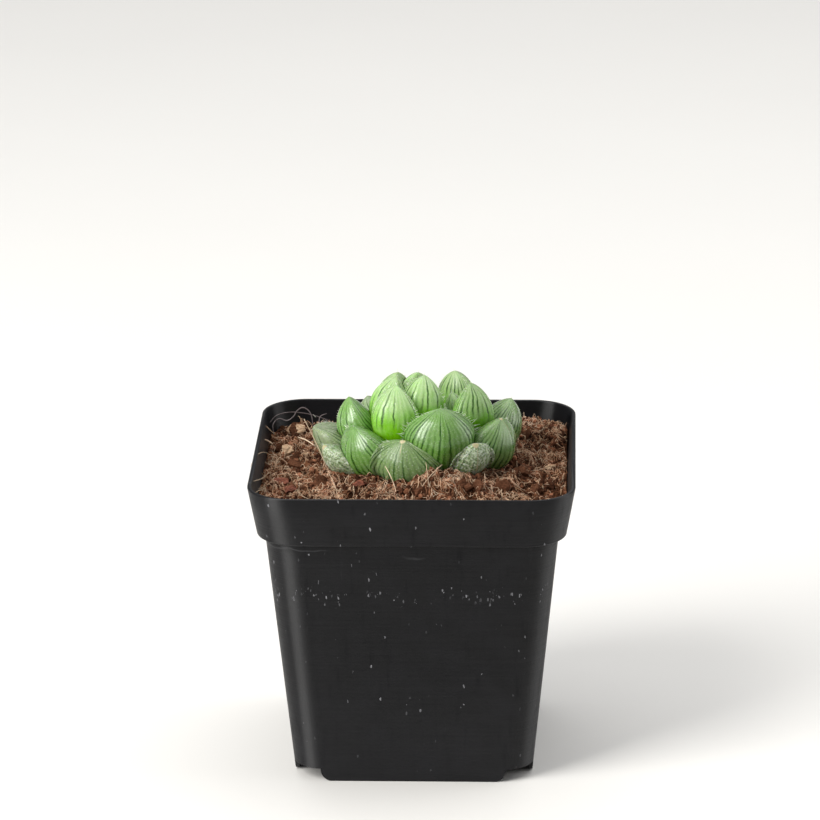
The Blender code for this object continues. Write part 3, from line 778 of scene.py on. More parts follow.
def make_coir(name, dark, light, scale=1400.0):
    """Coir with lighter streaks, dark specks and damp patches. Pieces with a per-point shade attribute get
    painted shade from it, darkest in the hollows between the clods.
    """
    material, tree, shader = new_material(name, roughness=0.95, specular_ior_level=0.02)
    grain = use_group(tree, "Coir Grain", scale=scale, stretch=3.0)
    place = object_place(tree)
    patches = ramp_value(tree, noise_value(tree, place, 330.0, 3.0), 0.35, 0.68)
    tone = mix_colour(tree, patches, shade(light, 0.62), light)
    tone = mix_colour(tree, times(tree, grain["Streaks"], 0.5), tone, shade(light, 1.7))
    tone = mix_colour(tree, times(tree, grain["Specks"], 0.55), tone, dark)
    damp = ramp_value(tree, noise_value(tree, place, 130.0, 2.0), 0.45, 0.65, 0.0, 0.7)
    tone = mix_colour(tree, damp, tone, dark)
    # Painted shade in the hollows between clods, from the per-point attribute
    tone = mix_colour(tree, attribute_value(tree, "hollow"), tone, dark)
    feed(tree, tone, shader.inputs["Base Color"])
    bump(tree, shader, grain["Height"], 0.25 * MM, 0.9)
    return material


def make_fibre_skin(name, dark, light):
    material, tree, shader = new_material(name, roughness=0.7, specular_ior_level=0.08)
    place = object_place(tree)
    tone = ramp_value(tree, noise_value(tree, place, 420.0, 3.0, 0.7), 0.32, 0.68)
    fine = noise_value(tree, place, 3000.0, 2.0)
    base = mix_colour(tree, tone, dark, light)
    patches = ramp_value(tree, noise_value(tree, place, 210.0, 2.0), 0.52, 0.7, 0.0, 0.32)
    base = mix_colour(tree, patches, base, [light[0] * 0.9, light[1] * 0.55, light[2] * 0.5])
    damp = ramp_value(tree, noise_value(tree, place, 130.0, 2.0), 0.45, 0.65, 0.0, 0.6)
    base = mix_colour(tree, damp, base, dark)
    base = mix_colour(tree, times(tree, fine, 0.35), base, shade(dark, 0.5))
    feed(tree, base, shader.inputs["Base Color"])
    bump(tree, shader, fine, 0.03 * MM, 0.6)
    return material


def make_bark(name, dark, light):
    material, tree, shader = new_material(name, roughness=0.85, specular_ior_level=0.3)
    grain = use_group(tree, "Coir Grain", scale=900.0, stretch=5.0)
    tone = mix_colour(tree, grain["Streaks"], dark, light)
    tone = mix_colour(tree, times(tree, grain["Specks"], 0.45), tone, shade(dark, 0.35))
    feed(tree, tone, shader.inputs["Base Color"])
    bump(tree, shader, grain["Height"], 0.18 * MM, 0.9)
    return material


# ---------------------------------------------------------------- pot


def body_half(z):
    return BODY_BOTTOM_HALF + (BODY_TOP_HALF - BODY_BOTTOM_HALF) * z / STEP


def body_corner(z):
    return BODY_BOTTOM_CORNER + (BODY_TOP_CORNER - BODY_BOTTOM_CORNER) * z / STEP


def band_half(z):
    return BAND_BOTTOM_HALF + (RIM_HALF - BAND_BOTTOM_HALF) * (z - STEP) / BAND_HEIGHT


def band_corner(z):
    return BAND_BOTTOM_CORNER + (RIM_CORNER - BAND_BOTTOM_CORNER) * (z - STEP) / BAND_HEIGHT


def rounding(half, corner, z, radius, start, end, steps=4):
    """Loops round an edge: radius is the edge's rounding, start and end its angles in the upright section."""
    for step in range(steps + 1):
        angle = math.radians(start + (end - start) * step / steps)
        out = radius * math.cos(angle)
        yield half + out, corner + out, z + radius * math.sin(angle)


def pot_loops(lip):
    """Half width, corner radius and height of each loop of the shell, from under the floor, up and in."""
    foot = 0.12 * MM
    inner = WALL
    low = FLOOR_UNDERSIDE
    yield body_half(low) - inner - FLOOR_RING, body_corner(low) - inner, low
    yield body_half(low) - inner, body_corner(low) - inner, low
    at_foot = body_half(0) - inner + foot, body_corner(0) - inner + foot
    yield from rounding(*at_foot, foot, foot, 180, 270, 2)
    yield from rounding(body_half(0) - foot, body_corner(0) - foot, foot, foot, 270, 360, 2)
    fillet = 0.35 * MM
    top = STEP - fillet
    yield body_half(top), body_corner(top), top
    yield from rounding(body_half(top) + fillet, body_corner(top) + fillet, top, fillet, 160, 90, 3)
    edge = 0.4 * MM
    yield from rounding(BAND_BOTTOM_HALF - edge, BAND_BOTTOM_CORNER - edge, STEP + edge, edge, 270, 360, 4)
    middle = STEP + BAND_HEIGHT / 2
    yield band_half(middle), band_corner(middle), middle
    yield from rounding(RIM_HALF - lip, RIM_CORNER - lip, POT_HEIGHT - lip, lip, 0, 90, 5)
    inner_lip = 0.3 * MM
    at_lip = RIM_HALF - WALL + inner_lip, RIM_CORNER - WALL + inner_lip
    yield from rounding(*at_lip, POT_HEIGHT - inner_lip, inner_lip, 90, 180, 4)
    step = STEP + WALL
    yield band_half(step) - WALL, BAND_BOTTOM_CORNER - WALL, step + 0.3 * MM
    yield band_half(step) - WALL - 0.3 * MM, BAND_BOTTOM_CORNER - WALL - 0.3 * MM, step
    yield body_half(step) - WALL, body_corner(step) - WALL, step - 0.4 * MM
    top = FLOOR_TOP + FLOOR_FILLET
    yield body_half(top) - WALL, body_corner(top) - WALL, top
    half, corner = body_half(FLOOR_TOP) - WALL, body_corner(FLOOR_TOP) - WALL - FLOOR_FILLET
    yield half - FLOOR_FILLET, corner, FLOOR_TOP
    yield half - FLOOR_RING, corner, FLOOR_TOP


def move_loop(mesh, old, new):
    """Moves the selected loop of points from one half width, corner radius and height to another."""
    edit = bmesh.from_edit_mesh(mesh)
    for vert in edit.verts:
        if vert.select:
            for axis in (0, 1):
                past = abs(vert.co[axis]) - (old[0] - old[1])
                vert.co[axis] = math.copysign(new[0] - new[1] + past * new[1] / old[1], vert.co[axis])
            vert.co.z = new[2]
    bmesh.update_edit_mesh(mesh)


def turn_shell(name, loops, corner_steps):
    """A closed body whose skin runs through square loops with round corners."""
    loops = list(loops)
    half, corner, _ = loops[0]
    deselect()
    bpy.ops.mesh.primitive_plane_add(size=2 * half, location=(0, 0, 0))
    shell = take_new(name)
    bpy.ops.object.mode_set(mode="EDIT")
    bpy.ops.mesh.bevel(offset=corner, offset_type="OFFSET", segments=corner_steps, affect="VERTICES")
    move_loop(shell.data, (half, corner, 0), loops[0])
    for old, new in zip(loops, loops[1:]):
        bpy.ops.mesh.extrude_region_move()
        move_loop(shell.data, old, new)
    bpy.ops.mesh.select_all(action="DESELECT")
    bpy.ops.mesh.select_mode(type="EDGE")
    bpy.ops.mesh.select_non_manifold()
    bpy.ops.mesh.edge_face_add()
    bpy.ops.mesh.select_mode(type="VERT")
    face_out()
    return shell


def cut_drain(pot, x, y):
    deselect()
    bpy.ops.mesh.primitive_cylinder_add(
        vertices=48, radius=DRAIN_RADIUS, depth=4 * MM, location=(x, y, (FLOOR_UNDERSIDE + FLOOR_TOP) / 2)
    )
    cut(pot, take_new("drain_cutter"))


def cut_corner(pot, sign_x, sign_y):
    """Cuts the wall away under one corner. The cutter flares out below, which rounds the feet."""
    outside = BODY_BOTTOM_HALF + 4 * MM
    deselect()
    bpy.ops.mesh.primitive_plane_add(size=1, location=(0, 0, 0))
    cutter = take_new("corner_cutter")
    steps = 10
    levels = [(NOTCH_START - NOTCH_FLARE, -1 * MM)]
    for step in range(steps + 1):
        angle = step / steps * math.pi / 2
        inner = NOTCH_START - NOTCH_FLARE * (1 - math.sin(angle))
        levels.append((inner, NOTCH_FLARE * (1 - math.cos(angle))))
    levels.append((NOTCH_START, NOTCH_HEIGHT))
    bpy.ops.object.mode_set(mode="EDIT")
    for number, (inner, z) in enumerate(levels):
        if number:
            bpy.ops.mesh.extrude_region_move()
        edit = bmesh.from_edit_mesh(cutter.data)
        chosen = [v for v in edit.verts if v.select]
        for axis in (0, 1):
            chosen.sort(key=lambda v: v.co[axis])
            for rank, vert in enumerate(chosen):
                vert.co[axis] = inner if rank < 2 else outside
                vert.co.z = z
        bmesh.update_edit_mesh(cutter.data)
    bpy.ops.object.mode_set(mode="OBJECT")
    cutter.scale = (sign_x, sign_y, 1)
    settle(cutter)
    edit_all()
    face_out()
    cut(pot, cutter)


class HAWORTHIA_OT_make_pot(bpy.types.Operator):
    """Model the thin square pot, its band, floor, drain holes and cut-away corners"""

    bl_idname = "haworthia.make_pot"
    bl_label = "Make Pot"

    def execute(self, context):
        settings = context.scene.haworthia_pot
        pot = turn_shell("nursery_pot", pot_loops(settings.lip), settings.corner_steps)
        for x, y in [(0, 0)] + [(DRAIN_REACH * i, DRAIN_REACH * j) for i in (-1, 1) for j in (-1, 1)]:
            cut_drain(pot, x, y)
        for sign_x in (-1, 1):
            for sign_y in (-1, 1):
                cut_corner(pot, sign_x, sign_y)
        smooth(pot, 32)
        pot.data.materials.append(make_plastic())
        place_piece(pot, "black_plastic", "pot")
        return {"FINISHED"}


# ---------------------------------------------------------------- soil


def soil_level(x, y):
    """The soil's mean height: low at the walls, heaped round the plant."""
    heap = math.hypot(x - CROWN.x, y) / SOIL_MOUND_REACH
    height = SOIL_EDGE + SOIL_MOUND * math.exp(-(heap**4))
    for heap_x, heap_y, reach, rise in SOIL_HEAPS:
        away = math.hypot(x - heap_x * MM, y - heap_y * MM) / (reach * MM)
        height += rise * MM * math.exp(-(away**2))
    return height + 0.8 * MM * noise.noise(Vector((x, y, SOIL_SEED * MM)) / (5 * MM))


def soil_relief(x, y):
    """Clods and crumbs on the mean height, from -1 in the cracks to about 1."""
    place = Vector((x, y, 0.013))
    coarse = place / (2.2 * MM)
    warp = Vector([noise.noise(coarse + Vector((apart, -apart, 0.5))) for apart in (0.0, 31.7, 73.1)])
    warp *= CLOD_WANDER
    near, far = noise.voronoi((place + warp) / CLOD_SIZE)[0][:2]
    clods = min(1.0, (far - near) * 3.0) - 0.6
    near, far = noise.voronoi((place - warp) / CRUMB_SIZE)[0][:2]
    crumbs = min(1.0, (far - near) * 2.2) - 0.5
    lumps = noise.fractal(place / LUMP_SIZE, 0.6, 2.1, 5)
    return 0.75 * clods + 0.35 * crumbs + 0.45 * lumps


def soil_top(x, y):
    """The height of the finished surface, and its relief."""
    relief = soil_relief(x, y)
    return soil_level(x, y) + SOIL_RELIEF * relief, relief


def inner_edge(z):
    return band_half(z) - WALL - SOIL_GAP, band_corner(z) - WALL - SOIL_GAP


def round_corner(x, y, half, corner):
    """Moves a point of a full square into the square with round corners."""
    straight = half - corner
    over_x, over_y = abs(x) - straight, abs(y) - straight
    if over_x > 0 and over_y > 0:
        pull = max(over_x, over_y) / math.hypot(over_x, over_y)
        x = math.copysign(straight + over_x * pull, x)
        y = math.copysign(straight + over_y * pull, y)
    return x, y


class HAWORTHIA_OT_make_soil(bpy.types.Operator):
    """Model the soil: a cloddy top, and a body that follows the inside of the pot"""

    bl_idname = "haworthia.make_soil"
    bl_label = "Make Soil"

    def execute(self, context):
        settings = context.scene.haworthia_soil
        half, corner = inner_edge(SOIL_EDGE)
        cells = 250
        deselect()
        bpy.ops.mesh.primitive_grid_add(x_subdivisions=cells, y_subdivisions=cells, size=2 * half)
        soil = take_new("coir_soil")
        hollow = []
        for vert in soil.data.vertices:
            x, y = round_corner(vert.co.x, vert.co.y, half, corner)
            z, relief = soil_top(x, y)
            vert.co = (x, y, z)
            # Painted shade for the crevices: the lower the relief dips, the darker the coir here is painted
            hollow.append(min(1.0, max(0.0, 0.35 - relief * 0.95)))
        write_attribute(soil.data, "hollow", hollow)
        edit_all()
        bpy.ops.mesh.region_to_loop()
        below = STEP + WALL + 0.6 * MM
        clear = WALL + SOIL_GAP
        levels = (
            (*inner_edge(below), below),
            (body_half(STEP) - clear, body_corner(STEP) - clear, STEP),
            (body_half(FLOOR_TOP) - clear, body_corner(FLOOR_TOP) - clear, FLOOR_TOP + SOIL_GAP),
        )
        old = (half, corner, 0)
        for level in levels:
            bpy.ops.mesh.extrude_edges_move()
            edit = bmesh.from_edit_mesh(soil.data)
            for vert in edit.verts:
                if vert.select:
                    share = level[0] / old[0]
                    vert.co = (vert.co.x * share, vert.co.y * share, level[2])
            bmesh.update_edit_mesh(soil.data)
            old = level
        bpy.ops.mesh.edge_face_add()
        face_out()
        smooth(soil)
        soil.data.materials.append(make_coir("coir", settings.dark_colour, settings.colour))
        place_piece(soil, "coir", "soil")
        return {"FINISHED"}


# ---------------------------------------------------------------- plant


def swell(share, base, peak, power):
    """Width or thickness along a leaf: it swells from the base to its peak, then closes to a point."""
    rise = np.clip(share / peak, 0, 1)
    grown = base + (1 - base) * rise * rise * (3 - 2 * rise)
    closing = (1 - np.clip((share - peak) / (1 - peak), 0, 1) ** power) ** CLOSING_POWER
    return np.where(share < peak, grown, closing)


class LeafForm:
    """A leaf's centre line, a quadratic curve in an upright plane through the crown, and its sections."""

    def __init__(self, row):
        facing, reach, height, width, thickness, base_reach, base_height, bow = row
        angle = math.radians(facing)
        self.out = Vector((math.cos(angle), math.sin(angle), 0))
        self.across = Vector((-math.sin(angle), math.cos(angle), 0))
        self.base = CROWN + (self.out * base_reach + Vector((0, 0, base_height))) * MM
        self.tip = CROWN + (self.out * reach + Vector((0, 0, height))) * MM
        chord = self.tip - self.base
        self.middle = (self.base + self.tip) / 2 - chord.cross(self.across) * bow
        self.half_width = width * MM / 2
        self.half_thickness = thickness * MM / 2

    def direction(self, share):
        return ((self.middle - self.base) * (1 - share) + (self.tip - self.middle) * share).normalized()

    def sections(self, share):
        """Half width and half thickness at each share of the length."""
        width = self.half_width * swell(share, BASE_WIDTH_SHARE, WIDEST_AT, WIDTH_POWER)
        thickness = self.half_thickness * swell(share, BASE_THICKNESS_SHARE, THICKEST_AT, THICKNESS_POWER)
        return width, thickness

    def points(self, share, turn):
        """The points at those shares of the length and turns round the section, 0 at one margin."""
        rest = 1 - share
        base, middle, tip = (np.array(p) for p in (self.base, self.middle, self.tip))
        centre = rest[:, None] ** 2 * base + (2 * share * rest)[:, None] * middle + share[:, None] ** 2 * tip
        along = rest[:, None] * (middle - base) + share[:, None] * (tip - middle)
        along /= np.linalg.norm(along, axis=1)[:, None]
        upper = np.cross(along, np.array(self.across))
        width, thickness = self.sections(share)
        rise = np.sin(turn) * thickness
        from_keel = (turn - 1.5 * np.pi) / KEEL_SPREAD
        keel = OUTER_FACE_SHARE * (1 + KEEL_RISE * share * np.exp(-(from_keel**2)))
        rise = np.where(rise > 0, rise * INNER_FACE_SHARE, rise * keel)
        return centre + np.array(self.across) * (width * np.cos(turn))[:, None] + upper * rise[:, None]


def press_back(points, turn, away, tree, gap):
    """Moves the points inside another leaf out of it, the way this leaf leans. Returns which moved."""
    moved = np.zeros(len(points), dtype=bool)
    for index, place in enumerate(points):
        point = Vector(place)
        near, normal, _, _ = tree.find_nearest(point, 5 * MM)
        if near is None or (point - near).dot(normal) > gap:
            continue
        rise = gap + (UNDERSIDE_LIFT if math.sin(turn[index]) < 0 else 0)
        hit = tree.ray_cast(point, away)[0] if (point - near).dot(normal) < 0 else near
        if hit is not None and (hit - point).length < PRESS_REACH:
            points[index] = hit + away * rise
            moved[index] = True
    return moved


def tooth_shape():
    """One tooth along +Z, a unit long and a unit wide, that leans a little towards +X."""
    deselect()
    bpy.ops.mesh.primitive_uv_sphere_add(segments=5, ring_count=5, radius=1, calc_uvs=False)
    tooth = take_new("tooth_shape")
    edit_all()
    bpy.ops.mesh.quads_convert_to_tris()
    bpy.ops.object.mode_set(mode="OBJECT")
    points = read_points(tooth.data)
    share = (points[:, 2] + 1) / 2
    width = np.sqrt(np.clip(1 - points[:, 2] ** 2, 1e-9, 1))
    slim = 0.5 * (1 - share) ** 0.8 / np.maximum(width, 0.3)
    points[:, 0] = points[:, 0] * slim + 0.22 * share**2
    points[:, 1] *= slim
    points[:, 2] = share
    write_points(tooth.data, points)
    return tooth


def tooth_places(form, points, share, turn, pressed, rng, settings):
    """Where the teeth stand: along both margins, up the keel, and one bristle at the tip."""
    longest, width = settings.tooth_length, settings.tooth_width
    places = []
    for angle, first, last, spacing, size in TOOTH_ROWS:
        on_row = np.abs(np.cos(turn) - math.cos(angle)) < 1e-3
        row = np.flatnonzero(on_row & (np.abs(np.sin(turn) - math.sin(angle)) < 1e-3))
        row = row[np.argsort(share[row])]
        line = points[row]
        reach = np.concatenate([[0], np.cumsum(np.linalg.norm(np.diff(line, axis=0), axis=1))])
        at = np.interp(first, share[row], reach)
        end = np.interp(last, share[row], reach)
        while at < end:
            here = np.interp(at, reach, share[row])
            foot = Vector([np.interp(at, reach, line[:, axis]) for axis in range(3)])
            hidden = pressed[row[np.argmin(np.abs(reach - at))]]
            at += spacing * MM * rng.uniform(0.25, 1.75)
            if hidden:
                continue
            side = form.across * math.cos(angle) + form.direction(here).cross(form.across) * math.sin(angle)
            lean = side + form.direction(here) * rng.uniform(0.3, 0.9)
            lean += Vector([rng.uniform(-0.45, 0.45) for _ in range(3)])
            length = longest * size * rng.uniform(0.3, 1.0) * (0.45 + 0.55 * math.sin(math.pi * here**1.5))
            girth = width * rng.uniform(0.7, 1.1)
            places.append(tooth_matrix(foot, lean, form.direction(here), length, girth))
    lean = form.direction(1.0) + Vector([rng.uniform(-0.3, 0.3) for _ in range(3)])
    places.append(tooth_matrix(form.tip, lean, form.out, longest * rng.uniform(0.35, 0.6), width))
    return np.array(places)


def tooth_matrix(foot, lean, towards, length, width):
    up = lean.normalized()
    side = up.cross(towards).normalized()
    turned = Matrix((side.cross(up), side, up)).transposed()
    turned = turned @ Matrix.Diagonal((-width, width, length))
    return np.array(Matrix.Translation(foot - up * 0.08 * MM) @ turned.to_4x4())


def dryness(name, points, share, turn, form):
    """How dry each point is: from the tip down, and along the upper keel."""
    reach = DRY_TIPS.get(name, 0.0)
    if not reach:
        return np.zeros(len(share))
    from_tip = np.linalg.norm(points - np.array(form.tip), axis=1) / (2 * form.half_width)
    tip = np.clip(1.25 - from_tip / (reach * 2.2), 0, 1)
    first = 0.66 if name in WARTY else 0.84
    keel = np.exp(-(((turn - 1.5 * np.pi) / 0.07) ** 2)) * np.clip((share - first) / 0.12, 0, 1)
    return np.maximum(tip, 0.55 * keel)


def make_leaf(name, skin, tooth, earlier, settings):
    """One leaf with its teeth, pressed back by the leaves nearer the heart. Returns its search tree."""
    form = LeafForm(LEAVES[name])
    rng = random.Random(name)
    shrink = 1
    deselect()
    bpy.ops.mesh.primitive_uv_sphere_add(
        segments=settings.segments // shrink, ring_count=settings.rings // shrink, radius=1, calc_uvs=True
    )
    leaf = take_new(name + "_flesh")
    ball = read_points(leaf.data)
    share = np.clip((ball[:, 2] + 1) / 2, 0, 1)
    turn = np.arctan2(ball[:, 1], ball[:, 0]) % (2 * np.pi)
    points = form.points(share, turn)
    if name in BLUNT:
        ceiling = form.tip.z - BLUNT[name] * MM
        over = (ceiling - points[:, 2]) / (0.5 * MM)
        points[:, 2] = ceiling - 0.5 * MM * np.log1p(np.exp(np.clip(over, -30, 30)))
    low, high = points.min(axis=0) - MM, points.max(axis=0) + MM
    away = (form.out - Vector((0, 0, 0.2))).normalized()
    pressed = np.zeros(len(points), dtype=bool)
    for tree, other_low, other_high in earlier:
        if np.all(low < other_high) and np.all(other_low < high):
            near = np.flatnonzero(np.all((points > other_low) & (points < other_high), axis=1))
            some = points[near]
            pressed[near] |= press_back(some, turn[near], away, tree, LEAF_GAP)
            points[near] = some
    write_points(leaf.data, points)
    width, thickness = form.sections(share)
    girth = 2 * np.pi * np.sqrt((width**2 + thickness**2) / 2)
    lines = round(float(girth.max()) / settings.line_spacing)
    write_attribute(leaf.data, "along", share)
    write_attribute(leaf.data, "lines", np.full(len(share), lines))
    write_attribute(leaf.data, "line_gap", np.maximum(girth / lines / MM, 0.05))
    write_attribute(leaf.data, "dry", dryness(name, points, share, turn, form))
    # The deep attribute carries each leaf's painted shade and tone
    for label, amounts in (("warty", WARTY), ("deep", LEAF_SHADE_AND_TONE)):
        write_attribute(leaf.data, label, np.full(len(share), amounts.get(name, 0.0)))
    write_attribute(leaf.data, "faded", FADED.get(name, 0.0) * np.clip((share - 0.45) / 0.4, 0, 1))
    tree = BVHTree.FromPolygons(points.tolist(), flesh_faces(leaf.data))
    leaf.data.materials.append(skin)
    places = tooth_places(form, points, share, turn, pressed, rng, settings)
    teeth = join_copies(name + "_teeth", tooth.data, places)
    teeth.data.materials.append(bpy.data.materials["leaf_tooth"])
    activate(leaf)
    teeth.select_set(True)
    bpy.ops.object.join()
    smooth(leaf)
    return leaf, (tree, points.min(axis=0) - 0.2 * MM, points.max(axis=0) + 0.2 * MM)


class HAWORTHIA_OT_make_leaves(bpy.types.Operator):
    """Model every leaf of the rosette with its teeth, from the heart outwards"""

    bl_idname = "haworthia.make_leaves"
    bl_label = "Make Leaves"

    def execute(self, context):
        settings = context.scene.haworthia_leaves
        make_tooth_skin()
        young, window = list(settings.young_colour), list(settings.window_colour)
        grown, old = list(settings.grown_colour), list(settings.old_colour)
        young_middle = midway(young, window, 0.4)
        young_high = midway(grown, window, 0.65)
        grown_low = [c * s for c, s in zip(grown, (0.36, 0.78, 0.01))]
        grown_high = midway(grown, window, 0.2)
        # slot: flesh low, halfway and high, then line strength, window, rise, roughness, gloss and age
        rows = {
            "young_leaf": (young, young_middle, young_high, 0.95, 1.0, 0.64, 0.24, 0.38, 0.0),
            "leaf": (grown_low, grown, grown_high, 0.95, 0.45, 0.48, 0.22, 0.95, 0.0),
            "old_leaf": (grown_low, old, shade(old, 1.25), 0.85, 0.3, 0.38, 0.28, 0.38, 0.5),
        }
        skins = {slot: make_leaf_skin(slot + "_skin", *row) for slot, row in rows.items()}
        tooth = tooth_shape()
        earlier = []
        for name in LEAVES:
            slot = "young_leaf" if name.startswith(("heart", "inner")) else "leaf"
            slot = "old_leaf" if name.startswith("outer") else slot
            leaf, shape = make_leaf(name, skins[slot], tooth, earlier, settings)
            earlier.append(shape)
            place_piece(leaf, slot, name)
        bpy.data.objects.remove(tooth, do_unlink=True)
        return {"FINISHED"}


class HAWORTHIA_OT_finish_stem(bpy.types.Operator):
    """Give the buried stem and roots their skin"""

    bl_idname = "haworthia.finish_stem"
    bl_label = "Finish Stem"

    def execute(self, context):
        stem = frame["nodes"]["stem_with_roots"]
        skin = make_bark("root_skin", (0.30, 0.20, 0.11), (0.55, 0.44, 0.28))
        for slot in stem.material_slots:
            slot.link = "OBJECT"
            slot.material = skin
        return {"FINISHED"}


# ---------------------------------------------------------------- loose pieces on the soil


def leaf_trees():
    """A search tree for each leaf, to keep loose pieces out of the leaves."""
    trees = []
    for name in LEAVES:
        mesh = bpy.data.objects[name + "_flesh"].data
        points = read_points(mesh)
        tree = BVHTree.FromPolygons(points.tolist(), flesh_faces(mesh))
        trees.append((tree, points.min(axis=0), points.max(axis=0)))
    return trees


def in_a_leaf(point, trees, clear=0.0):
    for tree, low, high in trees:
        if all(low[k] - clear < point[k] < high[k] + clear for k in range(3)):
            near, normal, _, _ = tree.find_nearest(point)
            if (point - near).dot(normal) < clear:
                return True
    return False


def random_place(rng, margin=0.4 * MM):
    """A place on the soil, inside the rim."""
    half, corner = inner_edge(SOIL_EDGE)
    half -= margin
    return round_corner(rng.uniform(-half, half), rng.uniform(-half, half), half, corner)


def inside_pot(point):
    if point.z > POT_HEIGHT:
        return True
    half, corner = inner_edge(point.z)
    straight = half - corner
    over_x, over_y = abs(point.x) - straight, abs(point.y) - straight
    if over_x > 0 and over_y > 0:
        return math.hypot(over_x, over_y) < corner
    return max(over_x, over_y) < corner


def random_direction(rng):
    return Vector([rng.gauss(0, 1) for _ in range(3)]).normalized()


def crumb_shape(name, subdivisions, rng):
    """An angular crumb of unit size."""
    deselect()
    bpy.ops.mesh.primitive_ico_sphere_add(subdivisions=subdivisions, radius=1)
    crumb = take_new(name)
    planes = [(random_direction(rng), rng.uniform(0.55, 1.0)) for _ in range(11)]
    for vert in crumb.data.vertices:
        aim = vert.co.normalized()
        reach = min([1.15] + [depth / aim.dot(normal) for normal, depth in planes if aim.dot(normal) > 0.05])
        vert.co = aim * reach * (1 + 0.16 * noise.noise(aim * 2.3 + planes[0][0] * 5))
    return crumb


class HAWORTHIA_OT_make_chips(bpy.types.Operator):
    """Model the bark chips and the pale crumbs that lie on the soil"""

    bl_idname = "haworthia.make_chips"
    bl_label = "Make Chips"

    def execute(self, context):
        bark = make_bark("bark_skin", (0.10, 0.028, 0.016), (0.30, 0.10, 0.055))
        wood = make_bark("crumb_skin", (0.34, 0.20, 0.11), (0.66, 0.48, 0.32))
        for seed, name in enumerate(CHIPS):
            rng = random.Random(seed + 40)
            low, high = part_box(name)
            chip = crumb_shape(name + "_shape", 5, rng)
            is_bark = name.startswith("bark")
            for vert in chip.data.vertices:
                layers = 0.05 * math.sin(vert.co.z * 13 + 2 * noise.noise(vert.co * 2)) if is_bark else 0
                rough = 0.09 * noise.fractal(vert.co * 3.1, 0.8, 2.1, 4) + layers
                vert.co *= 1 + rough
            points = read_points(chip.data)
            points -= (points.min(axis=0) + points.max(axis=0)) / 2
            points /= points.max(axis=0)
            half = (np.array(high) - np.array(low)) / 2
            write_points(chip.data, points * half + (np.array(high) + np.array(low)) / 2)
            smooth(chip, 50)
            chip.data.materials.append(bark if is_bark else wood)
            place_piece(chip, "bark" if is_bark else "crumb", name)
        return {"FINISHED"}


class HAWORTHIA_OT_make_crumbs(bpy.types.Operator):
    """Scatter small coir crumbs over the soil"""

    bl_idname = "haworthia.make_crumbs"
    bl_label = "Make Crumbs"

    def execute(self, context):
        settings = context.scene.haworthia_soil
        trees = leaf_trees()
        kinds = (
            ("coir_clods", 3, (0.9, 1.9), 0.03, (0.02, 0.008, 0.004), (0.13, 0.056, 0.031)),
            ("dark_crumbs", 2, (0.35, 0.95), 0.35, (0.016, 0.006, 0.003), (0.10, 0.042, 0.024)),
            ("brown_crumbs", 2, (0.22, 0.7), 0.35, (0.06, 0.022, 0.010), (0.35, 0.155, 0.088)),
            ("tan_crumbs", 1, (0.10, 0.28), 0.3, (0.20, 0.105, 0.06), (0.58, 0.38, 0.25)),
        )
        for seed, (name, subdivisions, sizes, share, dark, light) in enumerate(kinds):
            rng = random.Random(seed + 11)
            shape = crumb_shape(name + "_shape", subdivisions, rng)
            places = []
            for _ in range(int(settings.crumbs * share)):
                size = rng.uniform(*sizes) * MM
                x, y = random_place(rng, size)
                point = Vector((x, y, soil_top(x, y)[0] + 0.15 * size))
                if in_a_leaf(point, trees, size * 0.7):
                    continue
                turn = Matrix.Rotation(rng.uniform(0, 6.28), 3, random_direction(rng))
                stretch = Matrix.Diagonal([size * rng.uniform(0.6, 1.2) for _ in range(3)])
                places.append(np.array(Matrix.Translation(point) @ (turn @ stretch).to_4x4()))
            crumbs = join_copies(name, shape.data, np.array(places))
            bpy.data.objects.remove(shape, do_unlink=True)
            smooth(crumbs, 40)
            crumbs.data.materials.append(make_coir(name + "_coir", dark, light))
            place_piece(crumbs, "coir")
        return {"FINISHED"}


def lay_fibre(rng, trees, lengths, arch, points=6):
    """A curly fibre that arches over the soil, or None where a leaf or the wall is in its way."""
    x, y = random_place(rng)
    while soil_top(x, y)[1] + 0.9 * noise.noise(Vector((x, y, 0.05)) / (4 * MM)) < rng.uniform(-0.5, 0.3):
        x, y = random_place(rng)
    heading = rng.uniform(0, 2 * math.pi)
    length = rng.uniform(*lengths) * MM
    bend = rng.gauss(0, 1.3)
    curl = rng.gauss(0, 0.55)
    height = abs(rng.gauss(0, arch)) * MM
    lean = rng.uniform(-0.2, 0.5) * height
    path = []
    for number in range(points):
        share = number / (points - 1)
        z = soil_top(x, y)[0] + 0.05 * MM + height * math.sin(math.pi * share) + lean * share
        path.append(Vector((x, y, z)))
        heading += bend / points + curl * math.sin(share * 9 + bend)
        x += math.cos(heading) * length / points
        y += math.sin(heading) * length / points
        if not inside_pot(path[-1]) or in_a_leaf(path[-1], trees, 0.06 * MM):
            if len(path) < 5:
                return None
            path.pop()
            break
    for before, point, after in zip(path, path[1:], path[2:]):
        point.z = max(point.z, (before.z + point.z + after.z) / 3)
    return path


